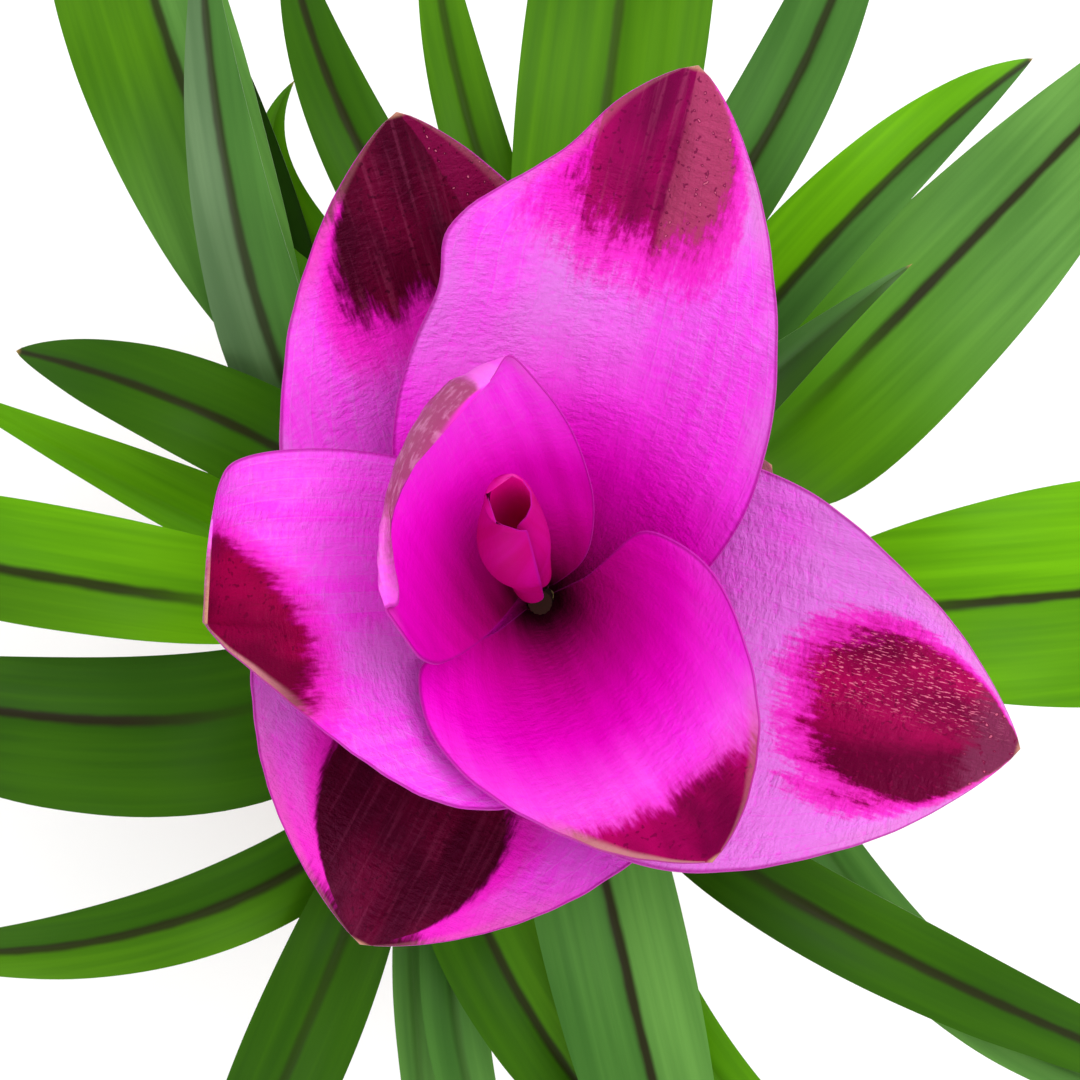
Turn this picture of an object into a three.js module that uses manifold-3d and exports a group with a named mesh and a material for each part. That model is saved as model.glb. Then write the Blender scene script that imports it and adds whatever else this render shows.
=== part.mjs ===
// A potted siam tulip: one pink flower head above long green leaves, in a plain clay pot.
// Millimetres, +Z up. The origin is the centre of the pot's flat underside.
// Seen from above, +X is to the right and +Y is up the page; headings turn counter-clockwise from +X.
import * as THREE from 'three';
import { mergeVertices } from 'three/addons/utils/BufferGeometryUtils.js';
import Module from 'manifold-3d';

const wasm = await Module();
wasm.setup();

// Driving dimensions of the pot and the soil
const CLEARANCE = 0.3;
const POT = {
  height: 128,
  footRadius: 49,
  shoulderRadius: 63,
  rimRadius: 71,
  rimDepth: 25,
  rimStep: 4,
  rimWall: 6,
  wall: 5,
  floor: 7,
  edge: 1.5,
  sides: 40,
};
const DRAIN = { count: 5, radius: 5, circle: 27, sides: 14 };
const SOIL = { top: 108, crown: 4, brow: 0.72, browDrop: 1.4, sides: 36 };

// The leafy shoots. Each is a roll of leaf sheaths that stands in the soil by depth and opens on top in a
// mouth. Above the soil it is full at first, steps in where the outer sheath ends, and swells again
// below the mouth. neck, waist and root are shares of its radius.
const SHOOT = {
  depth: 26,
  root: 0.7,
  rootTop: 6,
  neck: 0.94,
  waist: 0.86,
  step: 0.7,
  outerSheath: 16,
  waistHeight: 38,
  innerSheath: 14,
  mouthDepth: 8,
  mouthWall: 1.6,
  mouthFlare: 0.7,
  sides: 16,
};
const FOOT_GAP = 0.45;
const SHOOTS = {
  shoot_centre: { at: [0, 0], radius: 10.2, mouth: 176 },
  shoot_left: { at: [-35, -10], radius: 8.6, mouth: 176 },
  shoot_lower_left: { at: [-24, -40], radius: 9.6, mouth: 176 },
  shoot_lower_right: { at: [14, -40], radius: 8.2, mouth: 176 },
  shoot_right: { at: [37, -8], radius: 8.0, mouth: 176 },
  shoot_top: { at: [2, 36], radius: 9.2, mouth: 176 },
  shoot_upper_left: { at: [-38, 22], radius: 9.2, mouth: 176 },
  shoot_upper_right: { at: [32, 26], radius: 8.4, mouth: 176 },
};

// The leaves. Each stalk stands in its shoot's mouth on the side that foot names as a heading, rises
// and bends out through the point via to the point tip. width is the blade at its widest, rise and
// fall shape its outline, bare is the length of the stalk, left and right widen one half as seen along
// the leaf, and lean carries the rising stalk sideways. The two halves fold up from the midrib.
// stalkEnds are the shares of the length between which the stalk's own width fades, and ridgeEnds say
// the same of its ridge underneath, from the place where the blade starts.
const LEAF = {
  rimGap: 3.75,
  lift: 98,
  viaAt: 0.6,
  bare: 60,
  stalkWidth: 4,
  stalkThickness: 2.2,
  bladeThickness: 0.8,
  ribThickness: 1.2,
  fold: 0.32,
  foldShare: 0.6,
  flatten: 0.16,
  stalkEnds: [0.5, 0.8],
  ridgeEnds: [0.6, 0.2],
  rise: 0.65,
  fall: 1.0,
  lean: [0, 0],
  rows: 13,
  strips: 4,
};
const LEAVES = {
  leaf_a: {
    shoot: 'shoot_upper_left', foot: 120, via: [-62, 82, 260], tip: [-98, 176, 205], width: 36,
    rise: 1, lean: [-4, 0],
  },
  leaf_b: {
    shoot: 'shoot_upper_left', foot: 190, via: [-50, 54, 277], tip: [-65, 126, 266], width: 17,
    rise: 0.5,
  },
  leaf_c: {
    shoot: 'shoot_upper_left', foot: 50, via: [-49, 70, 247], tip: [-68, 130, 230], width: 12,
    bare: 75, lean: [2, 0],
  },
  leaf_d: {
    shoot: 'shoot_top', foot: 140, via: [-28, 68, 271], tip: [-52, 125, 254], width: 16, rise: 0.5,
    lean: [-3, 0],
  },
  leaf_e: {
    shoot: 'shoot_top', foot: 80, via: [-10, 74, 264], tip: [-21, 136, 245], width: 12,
    lean: [5, 0],
  },
  leaf_f: {
    shoot: 'shoot_centre', foot: 80, via: [11, 80, 277], tip: [25, 182, 225], width: 32, rise: 1,
  },
  leaf_g: { shoot: 'shoot_top', foot: 20, via: [38, 76, 266], tip: [71, 162, 225], width: 19, fall: 1.2 },
  leaf_h: {
    shoot: 'shoot_upper_right', foot: 95, via: [50, 60, 283], tip: [87, 93, 269], width: 18,
    left: 0.9, right: 0.7, lean: [-6, 5], lift: 108, bare: 74,
  },
  leaf_i: {
    shoot: 'shoot_upper_right', foot: 330, via: [62, 46, 266], tip: [148, 130, 222], width: 31,
    rise: 0.5, left: 0.84, right: 1.2, lean: [6, -6], lift: 86,
  },
  leaf_j: {
    shoot: 'shoot_upper_right', foot: 190, via: [50, 45, 293], tip: [63, 54, 294], width: 12,
    rise: 0.4, viaAt: 0.75, lift: 106,
  },
  leaf_k: { shoot: 'shoot_right', foot: 0, via: [83, -3, 262], tip: [178, 2, 203], width: 43, rise: 1 },
  leaf_l: {
    shoot: 'shoot_upper_left', foot: 260, via: [-56, 29, 268], tip: [-97, 43, 255], width: 20,
    rise: 0.45, fall: 0.85,
  },
  leaf_m: {
    shoot: 'shoot_left', foot: 60, via: [-68, 14, 253], tip: [-125, 42, 237], width: 12,
    lean: [1, 4],
  },
  leaf_n: {
    shoot: 'shoot_left', foot: 125, via: [-77, 0, 271], tip: [-180, 16, 217], width: 26, left: 0.7,
    bare: 66,
  },
  leaf_o: {
    shoot: 'shoot_left', foot: 190, via: [-72, -25, 259], tip: [-180, -16, 198], width: 32,
    rise: 0.4, left: 1.1, right: 0.76, bare: 50, lean: [2, -10],
  },
  leaf_p: {
    shoot: 'shoot_lower_left', foot: 165, via: [-62, -59, 261], tip: [-132, -76, 240], width: 14,
    rise: 0.5,
  },
  leaf_q: {
    shoot: 'shoot_lower_left', foot: 225, via: [-38, -70, 262], tip: [-74, -148, 222], width: 20,
    rise: 0.8, lean: [-3, 0],
  },
  leaf_r: {
    shoot: 'shoot_lower_left', foot: 285, via: [-24, -72, 249], tip: [-20, -140, 222], width: 8,
    lean: [-1, 0],
  },
  leaf_s: {
    shoot: 'shoot_lower_left', foot: 348, via: [-16, -76, 256], tip: [-2, -130, 228], width: 12,
    lean: [7, 0],
  },
  leaf_t: { shoot: 'shoot_lower_left', foot: 45, via: [-8, -65, 266], tip: [26, -118, 246], width: 20 },
  leaf_u: {
    shoot: 'shoot_centre', foot: 280, via: [15, -67, 273], tip: [36, -150, 215], width: 24,
    fall: 1.2, right: 1.15,
  },
  leaf_v: {
    shoot: 'shoot_lower_right', foot: 10, via: [51, -59, 268], tip: [150, -110, 222], width: 16,
    rise: 0.5,
  },
  leaf_w: {
    shoot: 'shoot_right', foot: 250, via: [66, -66, 256], tip: [150, -112, 212], width: 13,
    rise: 0.5,
  },
  leaf_x: { shoot: 'shoot_lower_right', foot: 260, via: [35, -84, 250], tip: [80, -132, 214], width: 13 },
  leaf_y: {
    shoot: 'shoot_top', foot: 200, via: [-44, 78, 244], tip: [-43, 128, 230], width: 9,
    lean: [-7, -3],
  },
};

// The flower stalk, with its radius at the foot, under the flower head and at its end
const SCAPE = {
  foot: 168,
  headStart: 258,
  end: 348,
  footRadius: 3.4,
  headRadius: 3.0,
  endRadius: 1.0,
  sides: 14,
};

// The bracts. Each turns to its heading at height up the stalk and grows along a line that starts at
// elevation from and ends at elevation to, in degrees. It clasps the stalk, wrapping it by the angle
// wrap on each side, and from cupFrom on it takes its own curve radius across, cup. ccw and cw are the
// half widths on its two sides, and hood bends its tip inward. The low bracts are green pouches that
// stand round the stalk by a steady turn, and the upper ones are the pink head.
const BRACT = {
  thickness: 0.9,
  gap: 0.35,
  wrap: 78,
  cupFrom: 0.3,
  cupFull: 0.8,
  rise: 0.5,
  fall: 0.8,
  hood: 0,
  hoodFrom: 0.78,
  lean: [0, 0],
  rows: 12,
  strips: 6,
};
const COMA_BRACTS = {
  coma_bract_1: { heading: 30, height: 312, length: 42, ccw: 16, cw: 16, from: 58, to: 10, cup: 24 },
  coma_bract_2: {
    heading: 242, height: 317, length: 61, ccw: 34, cw: 35, from: 60, to: 25, cup: 36, fall: 0.85,
  },
  coma_bract_3: { heading: 106, height: 322, length: 78, ccw: 29, cw: 22, from: 58, to: 31, cup: 40 },
  coma_bract_4: {
    heading: 344, height: 327, length: 72, ccw: 26, cw: 30, from: 58, to: 23, cup: 40, fall: 0.84,
  },
  coma_bract_5: {
    heading: 74, height: 331, length: 81, ccw: 23, cw: 22, from: 60, to: 28, cup: 34, fall: 0.76,
  },
  coma_bract_6: {
    heading: 181, height: 335, length: 64, ccw: 34, cw: 23, from: 64, to: 41, cup: 30,
    fallCw: 0.42, riseCcw: 0.35, fallCcw: 1.0, hood: 60,
  },
  coma_bract_7: {
    heading: 305, height: 339, length: 55, ccw: 25, cw: 28, from: 68, to: 42, cup: 24,
    rise: 0.35, fall: 0.75, riseCw: 0.3, fallCw: 0.95, hood: 50,
  },
  coma_bract_8: {
    heading: 112, height: 343, length: 55, ccw: 22, cw: 14, from: 74, to: 44, cup: 13,
    fall: 0.5, fallCcw: 0.65, hood: 90, lean: [0, 4],
  },
  coma_bract_9: {
    heading: 140, height: 347, length: 38, ccw: 11, cw: 9, from: 85, to: 85, cup: 4.2, cupFrom: 0,
    rise: 0.4, fall: 0.4, lean: [-1, 10],
  },
};
const FERTILE = {
  count: 8,
  lowest: 264,
  spacing: 6.2,
  firstHeading: 155,
  turn: 135,
  length: 31,
  growth: 0.8,
  halfWidth: 13,
  from: 52,
  to: 6,
  cup: 16,
  rise: 0.45,
  fall: 0.7,
};

// Colours and finishes
function finish(color, roughness) {
  return new THREE.MeshStandardMaterial({ color, roughness, metalness: 0 });
}

const CLAY = finish(0xb5623c, 0.85);
const EARTH = finish(0x3b2a1e, 0.95);
const SHEATH = finish(0x7fa04a, 0.5);
const LEAF_GREEN = finish(0x3f8a28, 0.45);
const STALK_GREEN = finish(0x86a64f, 0.5);
const PINK = finish(0xe05adf, 0.4);
const BRACT_GREEN = finish(0x6f9a52, 0.5);

const radians = THREE.MathUtils.degToRad;
const smooth = (x, from, to) => THREE.MathUtils.smoothstep(x, from, to);

// A closed body as a manifold-3d solid, and back
function toSolid(geometry) {
  const bare = geometry.index ? geometry.toNonIndexed() : geometry.clone();
  bare.deleteAttribute('normal');
  bare.deleteAttribute('uv');
  const merged = mergeVertices(bare, 1e-4);
  return new wasm.Manifold(new wasm.Mesh({
    numProp: 3,
    vertProperties: new Float32Array(merged.attributes.position.array),
    triVerts: new Uint32Array(merged.index.array),
  }));
}

function toGeometry(solid) {
  const mesh = solid.getMesh();
  const geometry = new THREE.BufferGeometry();
  geometry.setAttribute('position', new THREE.BufferAttribute(new Float32Array(mesh.vertProperties), 3));
  geometry.setIndex(Array.from(mesh.triVerts));
  return geometry;
}

function named(name, geometry, material) {
  const shown = geometry.index ? geometry.toNonIndexed() : geometry;
  shown.computeVertexNormals();
  const mesh = new THREE.Mesh(shown, material);
  mesh.name = name;
  return mesh;
}

// A turned body about Z from [radius, height] points that run from the axis below to the axis above
function turned(points, sides) {
  const profile = points.map(([radius, height]) => new THREE.Vector2(radius, height));
  return new THREE.LatheGeometry(profile, sides).rotateX(Math.PI / 2);
}

function cylinder(radius, bottom, top, sides) {
  return new THREE.CylinderGeometry(radius, radius, top - bottom, sides)
    .rotateX(Math.PI / 2)
    .translate(0, 0, (bottom + top) / 2);
}

// A thin solid over rows of points. Each row runs across, the rows follow each other along the length,
// and the solid closes on the point tip. It reaches half above its points and under(i, j) below them.
function sheet(rows, tip, half, under) {
  const across = rows[0].length;
  const normals = rows.map((row, i) => row.map((point, j) => {
    const before = rows[Math.max(i - 1, 0)][j];
    const after = i + 1 < rows.length ? rows[i + 1][j] : tip;
    const left = row[Math.max(j - 1, 0)];
    const right = row[Math.min(j + 1, across - 1)];
    return right.clone().sub(left).cross(after.clone().sub(before)).normalize();
  }));
  const positions = [];
  const add = (point, normal, distance) => {
    positions.push(...point.clone().addScaledVector(normal, distance).toArray());
  };
  rows.forEach((row, i) => row.forEach((point, j) => {
    add(point, normals[i][j], half);
    add(point, normals[i][j], -under(i, j));
  }));
  const middle = (across - 1) / 2;
  add(tip, normals[rows.length - 1][middle], half);
  add(tip, normals[rows.length - 1][middle], -half);
  const top = (i, j) => (i < rows.length ? 2 * (i * across + j) : 2 * rows.length * across);
  const low = (i, j) => top(i, j) + 1;
  const faces = [];
  for (let j = 0; j + 1 < across; j += 1) {
    faces.push(top(0, j), low(0, j), low(0, j + 1), top(0, j), low(0, j + 1), top(0, j + 1));
  }
  for (let i = 0; i < rows.length; i += 1) {
    const closing = i + 1 === rows.length;
    for (let j = 0; j + 1 < across; j += 1) {
      faces.push(top(i, j), top(i, j + 1), top(i + 1, j + 1));
      faces.push(low(i, j), low(i + 1, j + 1), low(i, j + 1));
      if (!closing) {
        faces.push(top(i, j), top(i + 1, j + 1), top(i + 1, j));
        faces.push(low(i, j), low(i + 1, j), low(i + 1, j + 1));
      }
    }
    const last = across - 1;
    faces.push(top(i, 0), top(i + 1, 0), low(i + 1, 0), top(i, 0), low(i + 1, 0), low(i, 0));
    faces.push(top(i, last), low(i + 1, last), top(i + 1, last));
    faces.push(top(i, last), low(i, last), low(i + 1, last));
  }
  const geometry = new THREE.BufferGeometry();
  geometry.setAttribute('position', new THREE.Float32BufferAttribute(positions, 3));
  geometry.setIndex(faces);
  return geometry;
}

// An outline that rises as x^rise and falls to nothing at 1, with its widest place worth 1
function outline(x, rise, fall) {
  const peak = rise / (rise + fall);
  return (x ** rise * (1 - x) ** fall) / (peak ** rise * (1 - peak) ** fall);
}

// Pot: a turned clay wall and floor with a rim band, and drain holes round the middle of the floor
function potGeometry() {
  const { height, footRadius, shoulderRadius, wall, floor, edge, sides } = POT;
  const { rimRadius, rimDepth, rimStep, rimWall } = POT;
  const rimFoot = height - rimDepth;
  const inner = rimRadius - rimWall;
  const wallTurned = toSolid(turned([
    [0, 0],
    [footRadius - edge, 0],
    [footRadius, edge],
    [shoulderRadius, rimFoot],
    [shoulderRadius + rimStep, rimFoot],
    [rimRadius, height - edge],
    [rimRadius - edge, height],
    [inner + edge, height],
    [inner, height - edge],
    [shoulderRadius - wall, rimFoot],
    [footRadius - wall, floor],
    [0, floor],
  ], sides));
  const drains = Array.from({ length: DRAIN.count }, (_, i) => {
    const turn = (i / DRAIN.count) * 2 * Math.PI;
    const hole = cylinder(DRAIN.radius, -1, floor + 1, DRAIN.sides);
    return toSolid(hole.translate(DRAIN.circle * Math.cos(turn), DRAIN.circle * Math.sin(turn), 0));
  });
  return toGeometry(drains.reduce((solid, drain) => solid.subtract(drain), wallTurned));
}

// Soil: fills the pot to below its rim, with a plain hole for each shoot
function soilGeometry() {
  const { height, footRadius, shoulderRadius, rimRadius, rimDepth, rimWall, wall, floor } = POT;
  const rimFoot = height - rimDepth;
  const inner = rimRadius - rimWall;
  const edgeRadius = shoulderRadius - wall
    + ((inner - shoulderRadius + wall) * (SOIL.top - SOIL.crown - rimFoot)) / rimDepth;
  const body = toSolid(turned([
    [0, floor + CLEARANCE],
    [footRadius - wall - CLEARANCE * 2, floor + CLEARANCE],
    [shoulderRadius - wall - CLEARANCE * 2, rimFoot],
    [edgeRadius - CLEARANCE * 2, SOIL.top - SOIL.crown],
    [edgeRadius * SOIL.brow, SOIL.top - SOIL.browDrop],
    [0, SOIL.top],
  ], SOIL.sides));
  const holes = Object.values(SHOOTS).map(({ at, radius }) => {
    const bottom = SOIL.top - SHOOT.depth - CLEARANCE;
    const hole = cylinder(radius + CLEARANCE, bottom, SOIL.top + SOIL.crown, SHOOT.sides);
    return toSolid(hole.translate(at[0], at[1], 0));
  });
  return toGeometry(holes.reduce((solid, hole) => solid.subtract(hole), body));
}

// Shoot: rolled leaf sheaths as one stem, stepped where each sheath ends, with an open mouth on top
function shootGeometry({ radius, mouth }) {
  const { depth, root, rootTop, step, outerSheath, waistHeight, innerSheath } = SHOOT;
  const { mouthDepth, mouthWall, mouthFlare, sides } = SHOOT;
  const foot = SOIL.top - depth;
  const neck = radius * SHOOT.neck;
  const waist = radius * SHOOT.waist;
  return turned([
    [0, foot],
    [radius * root, foot],
    [radius, SOIL.top - rootTop],
    [neck, SOIL.top + outerSheath],
    [neck - step, SOIL.top + outerSheath + 1],
    [waist, SOIL.top + waistHeight],
    [waist + step, mouth - innerSheath],
    [radius, mouth],
    [radius - mouthWall * mouthFlare, mouth],
    [radius - mouthWall, mouth - mouthDepth],
    [0, mouth - mouthDepth],
  ], sides);
}

// Leaf: stalk, then blade, over one bent line, in a frame whose origin is the stalk's foot
function leafGeometry(leaf, foot) {
  const form = { left: 1, right: 1, ...LEAF, ...leaf };
  const via = new THREE.Vector3(...form.via).sub(foot);
  const tip = new THREE.Vector3(...form.tip).sub(foot);
  const riser = new THREE.Vector3(...form.lean, form.lift);
  const q = form.viaAt;
  const reach = via.clone()
    .addScaledVector(riser, -3 * (1 - q) ** 2 * q)
    .addScaledVector(tip, -(q ** 3))
    .divideScalar(3 * (1 - q) * q * q);
  const line = new THREE.CubicBezierCurve3(new THREE.Vector3(), riser, reach, tip);
  line.arcLengthDivisions = 400;
  const bladeFrom = form.bare / line.getLength();
  const rows = Array.from({ length: form.rows }, (_, i) => {
    const along = i / form.rows;
    const bend = line.getUtoTmapping(along);
    const point = line.getPoint(bend);
    const forward = line.getTangent(bend);
    const heading = reach.clone().sub(riser).multiplyScalar(2 * (1 - bend))
      .addScaledVector(tip.clone().sub(reach), bend);
    heading.z = 0;
    const right = heading.cross(new THREE.Vector3(0, 0, 1));
    right.addScaledVector(forward, -right.dot(forward)).normalize();
    const up = right.clone().cross(forward);
    const blade = outline(Math.max((along - bladeFrom) / (1 - bladeFrom), 0), form.rise, form.fall);
    const stalk = form.stalkWidth * (1 - smooth(along, ...form.stalkEnds));
    const half = Math.max(blade * form.width, stalk) / 2;
    return Array.from({ length: form.strips + 1 }, (__, j) => {
      const side = (2 * j) / form.strips - 1;
      const wide = half * (side > 0 ? form.right : form.left);
      return point.clone()
        .addScaledVector(right, wide * side * Math.cos(form.fold * form.foldShare))
        .addScaledVector(up, wide * (form.fold * Math.abs(side) - form.flatten * side * side));
    });
  });
  const under = (i, j) => {
    const along = i / form.rows;
    const side = (2 * j) / form.strips - 1;
    const thin = form.bladeThickness / 2;
    const fading = smooth(along, bladeFrom * form.ridgeEnds[0], bladeFrom + form.ridgeEnds[1]);
    const stalk = (form.stalkThickness - form.bladeThickness) * (1 - fading);
    const rib = (form.ribThickness - form.bladeThickness) * (1 - along);
    return thin + Math.max(stalk, rib) * (1 - side * side);
  };
  return sheet(rows, tip, form.bladeThickness / 2, under);
}

// Bract: a cupped blade that grows from the stalk, in a frame whose X axis is its heading
function bractGeometry(bract, stalkRadius, heading) {
  const form = { ...BRACT, ...bract };
  const rise = [form.riseCw ?? form.rise, form.riseCcw ?? form.rise];
  const fall = [form.fallCw ?? form.fall, form.fallCcw ?? form.fall];
  const step = form.length / form.rows;
  const slope = (along) => radians(form.from + (form.to - form.from) * along);
  const elevation = (along) => slope(along) + radians(form.hood) * smooth(along, form.hoodFrom, 1);
  const lean = new THREE.Vector3(...form.lean, 0);
  lean.applyAxisAngle(new THREE.Vector3(0, 0, 1), -radians(heading));
  const attached = stalkRadius + form.gap + form.thickness / 2;
  let radius = attached;
  let height = 0;
  const rows = [];
  for (let i = 0; i < form.rows; i += 1) {
    const along = i / form.rows;
    const rising = elevation(along);
    const clasping = radius / Math.sin(slope(along));
    const cup = THREE.MathUtils.lerp(clasping, form.cup, smooth(along, form.cupFrom, form.cupFull));
    const row = [];
    for (let j = 0; j <= form.strips; j += 1) {
      const side = (2 * j) / form.strips - 1;
      const ccw = side > 0 ? 1 : 0;
      const free = outline(Math.max(along, 0.02), rise[ccw], fall[ccw]) * (ccw ? form.ccw : form.cw);
      const wide = Math.min(free, radians(form.wrap) * cup);
      const turn = (side * wide) / cup;
      const inward = cup * (1 - Math.cos(turn));
      const place = new THREE.Vector3(
        radius - Math.sin(rising) * inward,
        cup * Math.sin(turn),
        height + Math.cos(rising) * inward,
      );
      row.push(place.addScaledVector(lean, along));
    }
    rows.push(row);
    const next = elevation((i + 0.5) / form.rows);
    radius += Math.cos(next) * step;
    height += Math.sin(next) * step;
  }
  const tip = new THREE.Vector3(radius, 0, height).add(lean);
  const half = form.thickness / 2;
  return sheet(rows, tip, half, () => half);
}

function scapeRadius(height) {
  const { foot, headStart, end, footRadius, headRadius, endRadius } = SCAPE;
  if (height < headStart) return THREE.MathUtils.mapLinear(height, foot, headStart, footRadius, headRadius);
  return THREE.MathUtils.mapLinear(height, headStart, end, headRadius, endRadius);
}

function scapeGeometry() {
  const { foot, headStart, end, sides } = SCAPE;
  return turned([
    [0, foot + CLEARANCE],
    [scapeRadius(foot), foot + CLEARANCE],
    [scapeRadius(headStart), headStart],
    [scapeRadius(end), end],
    [0, end + 1],
  ], sides);
}

function placeBract(name, bract, material) {
  const mesh = named(name, bractGeometry(bract, scapeRadius(bract.height), bract.heading), material);
  mesh.position.z = bract.height;
  mesh.rotation.z = radians(bract.heading);
  return mesh;
}

function placeLeaf(name, leaf) {
  const shoot = SHOOTS[leaf.shoot];
  const side = radians(leaf.foot);
  const ring = shoot.radius - SHOOT.mouthWall - LEAF.rimGap + CLEARANCE;
  const foot = new THREE.Vector3(
    shoot.at[0] + ring * Math.cos(side),
    shoot.at[1] + ring * Math.sin(side),
    shoot.mouth - SHOOT.mouthDepth + FOOT_GAP,
  );
  const mesh = named(name, leafGeometry(leaf, foot), LEAF_GREEN);
  mesh.position.copy(foot);
  return mesh;
}

// Assembly
const plant = new THREE.Group();
plant.add(named('pot', potGeometry(), CLAY));
plant.add(named('soil', soilGeometry(), EARTH));

for (const [name, shoot] of Object.entries(SHOOTS)) {
  const stem = named(name, shootGeometry(shoot), SHEATH);
  stem.position.set(shoot.at[0], shoot.at[1], 0);
  plant.add(stem);
}

const leaves = new THREE.Group();
for (const [name, leaf] of Object.entries(LEAVES)) leaves.add(placeLeaf(name, leaf));
plant.add(leaves);

const flowerHead = new THREE.Group();
flowerHead.add(named('scape', scapeGeometry(), STALK_GREEN));
for (let i = 0; i < FERTILE.count; i += 1) {
  const bract = {
    ...FERTILE,
    heading: FERTILE.firstHeading + FERTILE.turn * i,
    height: FERTILE.lowest + FERTILE.spacing * i,
    length: FERTILE.length + FERTILE.growth * i,
    ccw: FERTILE.halfWidth,
    cw: FERTILE.halfWidth,
  };
  flowerHead.add(placeBract(`fertile_bract_${i + 1}`, bract, BRACT_GREEN));
}
for (const [name, bract] of Object.entries(COMA_BRACTS)) flowerHead.add(placeBract(name, bract, PINK));
plant.add(flowerHead);

export default plant;
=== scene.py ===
"""The looks of a potted siam tulip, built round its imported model, in metres.

Leaves and bracts are thin sheets over a curved line. Their sizes are the driving dimensions of the
solid model, in millimetres, so each fine sheet lies where the plain one does, give or take a few
millimetres.
"""

import logging
import math
from dataclasses import dataclass, field
from enum import Enum

import bmesh
import bpy
import numpy as np
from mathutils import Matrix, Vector, noise

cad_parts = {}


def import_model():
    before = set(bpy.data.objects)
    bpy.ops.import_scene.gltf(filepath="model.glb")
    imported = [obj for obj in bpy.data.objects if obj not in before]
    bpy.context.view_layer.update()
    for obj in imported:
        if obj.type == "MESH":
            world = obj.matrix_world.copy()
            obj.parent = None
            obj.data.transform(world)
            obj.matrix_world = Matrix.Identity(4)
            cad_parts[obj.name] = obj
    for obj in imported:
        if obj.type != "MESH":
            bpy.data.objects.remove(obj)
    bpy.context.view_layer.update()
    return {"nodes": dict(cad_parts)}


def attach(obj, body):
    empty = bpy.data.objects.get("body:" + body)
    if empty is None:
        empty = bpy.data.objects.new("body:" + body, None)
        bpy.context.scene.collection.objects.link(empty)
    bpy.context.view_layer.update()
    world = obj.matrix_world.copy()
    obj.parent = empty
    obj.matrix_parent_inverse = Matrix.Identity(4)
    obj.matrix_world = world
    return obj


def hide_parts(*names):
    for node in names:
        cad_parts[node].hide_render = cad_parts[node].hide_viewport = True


LOG = logging.getLogger("siam_tulip")
MM = 0.001
BODY = "root"
Colour = tuple[float, float, float]
Pair = tuple[float, float]
Triple = tuple[float, float, float]
Socket = bpy.types.NodeSocket


def smooth(x: np.ndarray, low: float, high: float) -> np.ndarray:
    """A soft step.

    Args:
        x: values to step.
        low: value where the step starts.
        high: value where it is complete.

    Returns:
        Values from 0 to 1.
    """
    t = np.clip((np.asarray(x, float) - low) / (high - low), 0.0, 1.0)
    return t * t * (3.0 - 2.0 * t)


def outline(x: np.ndarray, rise: float, fall: float) -> np.ndarray:
    """The outline of a blade, which rises as x^rise and falls to nothing at 1.

    Args:
        x: places along the blade, from 0 to 1.
        rise: power of the rise.
        fall: power of the fall.

    Returns:
        Shares of the largest width.
    """
    peak = rise / (rise + fall)
    top = peak**rise * (1.0 - peak) ** fall
    return np.clip(x, 0.0, 1.0) ** rise * np.clip(1.0 - x, 0.0, 1.0) ** fall / top


def ripple(place: np.ndarray, seed: float, size: float) -> np.ndarray:
    """Soft random waves over points of a plane.

    Args:
        place: points, as an array that ends in two numbers each.
        seed: which of the possible patterns.
        size: size of a wave, in the units of place.

    Returns:
        Heights from about -1 to 1, with the shape of place less its last axis.
    """
    flat = place.reshape(-1, 2) / size
    heights = [noise.noise(Vector((x, y, seed * 7.3))) for x, y in flat]
    return np.array(heights).reshape(place.shape[:-1])


def bell(x: np.ndarray, width: float, at: float = 0.0) -> np.ndarray:
    """A rounded hump of height 1.

    Args:
        x: places along it.
        width: how wide it is.
        at: place of its top.

    Returns:
        Its height at each place.
    """
    return np.exp(-(((x - at) / width) ** 2))


class NodeWork:
    """Short calls that fill a node tree."""

    def __init__(self, tree: bpy.types.NodeTree) -> None:
        """Takes the tree to fill."""
        self.tree = tree

    def link(self, source: Socket, target: Socket) -> None:
        """Links two sockets."""
        self.tree.links.new(source, target)

    def add(self, kind: str, inputs: dict | None = None, **settings: object) -> bpy.types.Node:
        """Adds a node.

        Args:
            kind: Blender's name of the node type.
            inputs: socket names or numbers, each with a value or a socket to link.
            settings: properties of the node.

        Returns:
            The node.
        """
        node = self.tree.nodes.new(kind)
        for key, value in settings.items():
            setattr(node, key, value)
        for key, value in (inputs or {}).items():
            socket = node.inputs[key]
            if isinstance(value, Socket):
                self.link(value, socket)
            elif isinstance(value, tuple) and socket.type == "RGBA":
                socket.default_value = (*value, 1.0)
            else:
                socket.default_value = value
        return node

    def math(self, operation: str, a: object, b: object = 0.0, c: object = 0.0) -> Socket:
        """The result of one Math node."""
        return self.add("ShaderNodeMath", {0: a, 1: b, 2: c}, operation=operation).outputs[0]

    def vector(self, operation: str, **inputs: object) -> bpy.types.Node:
        """A Vector Math node, whose vectors are named a and b."""
        keys = {"a": 0, "b": 1}
        named = {keys.get(key, key): value for key, value in inputs.items()}
        return self.add("ShaderNodeVectorMath", named, operation=operation)

    def split(self, vector: Socket) -> bpy.types.NodeOutputs:
        """The three numbers of a vector."""
        return self.add("ShaderNodeSeparateXYZ", {0: vector}).outputs


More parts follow.
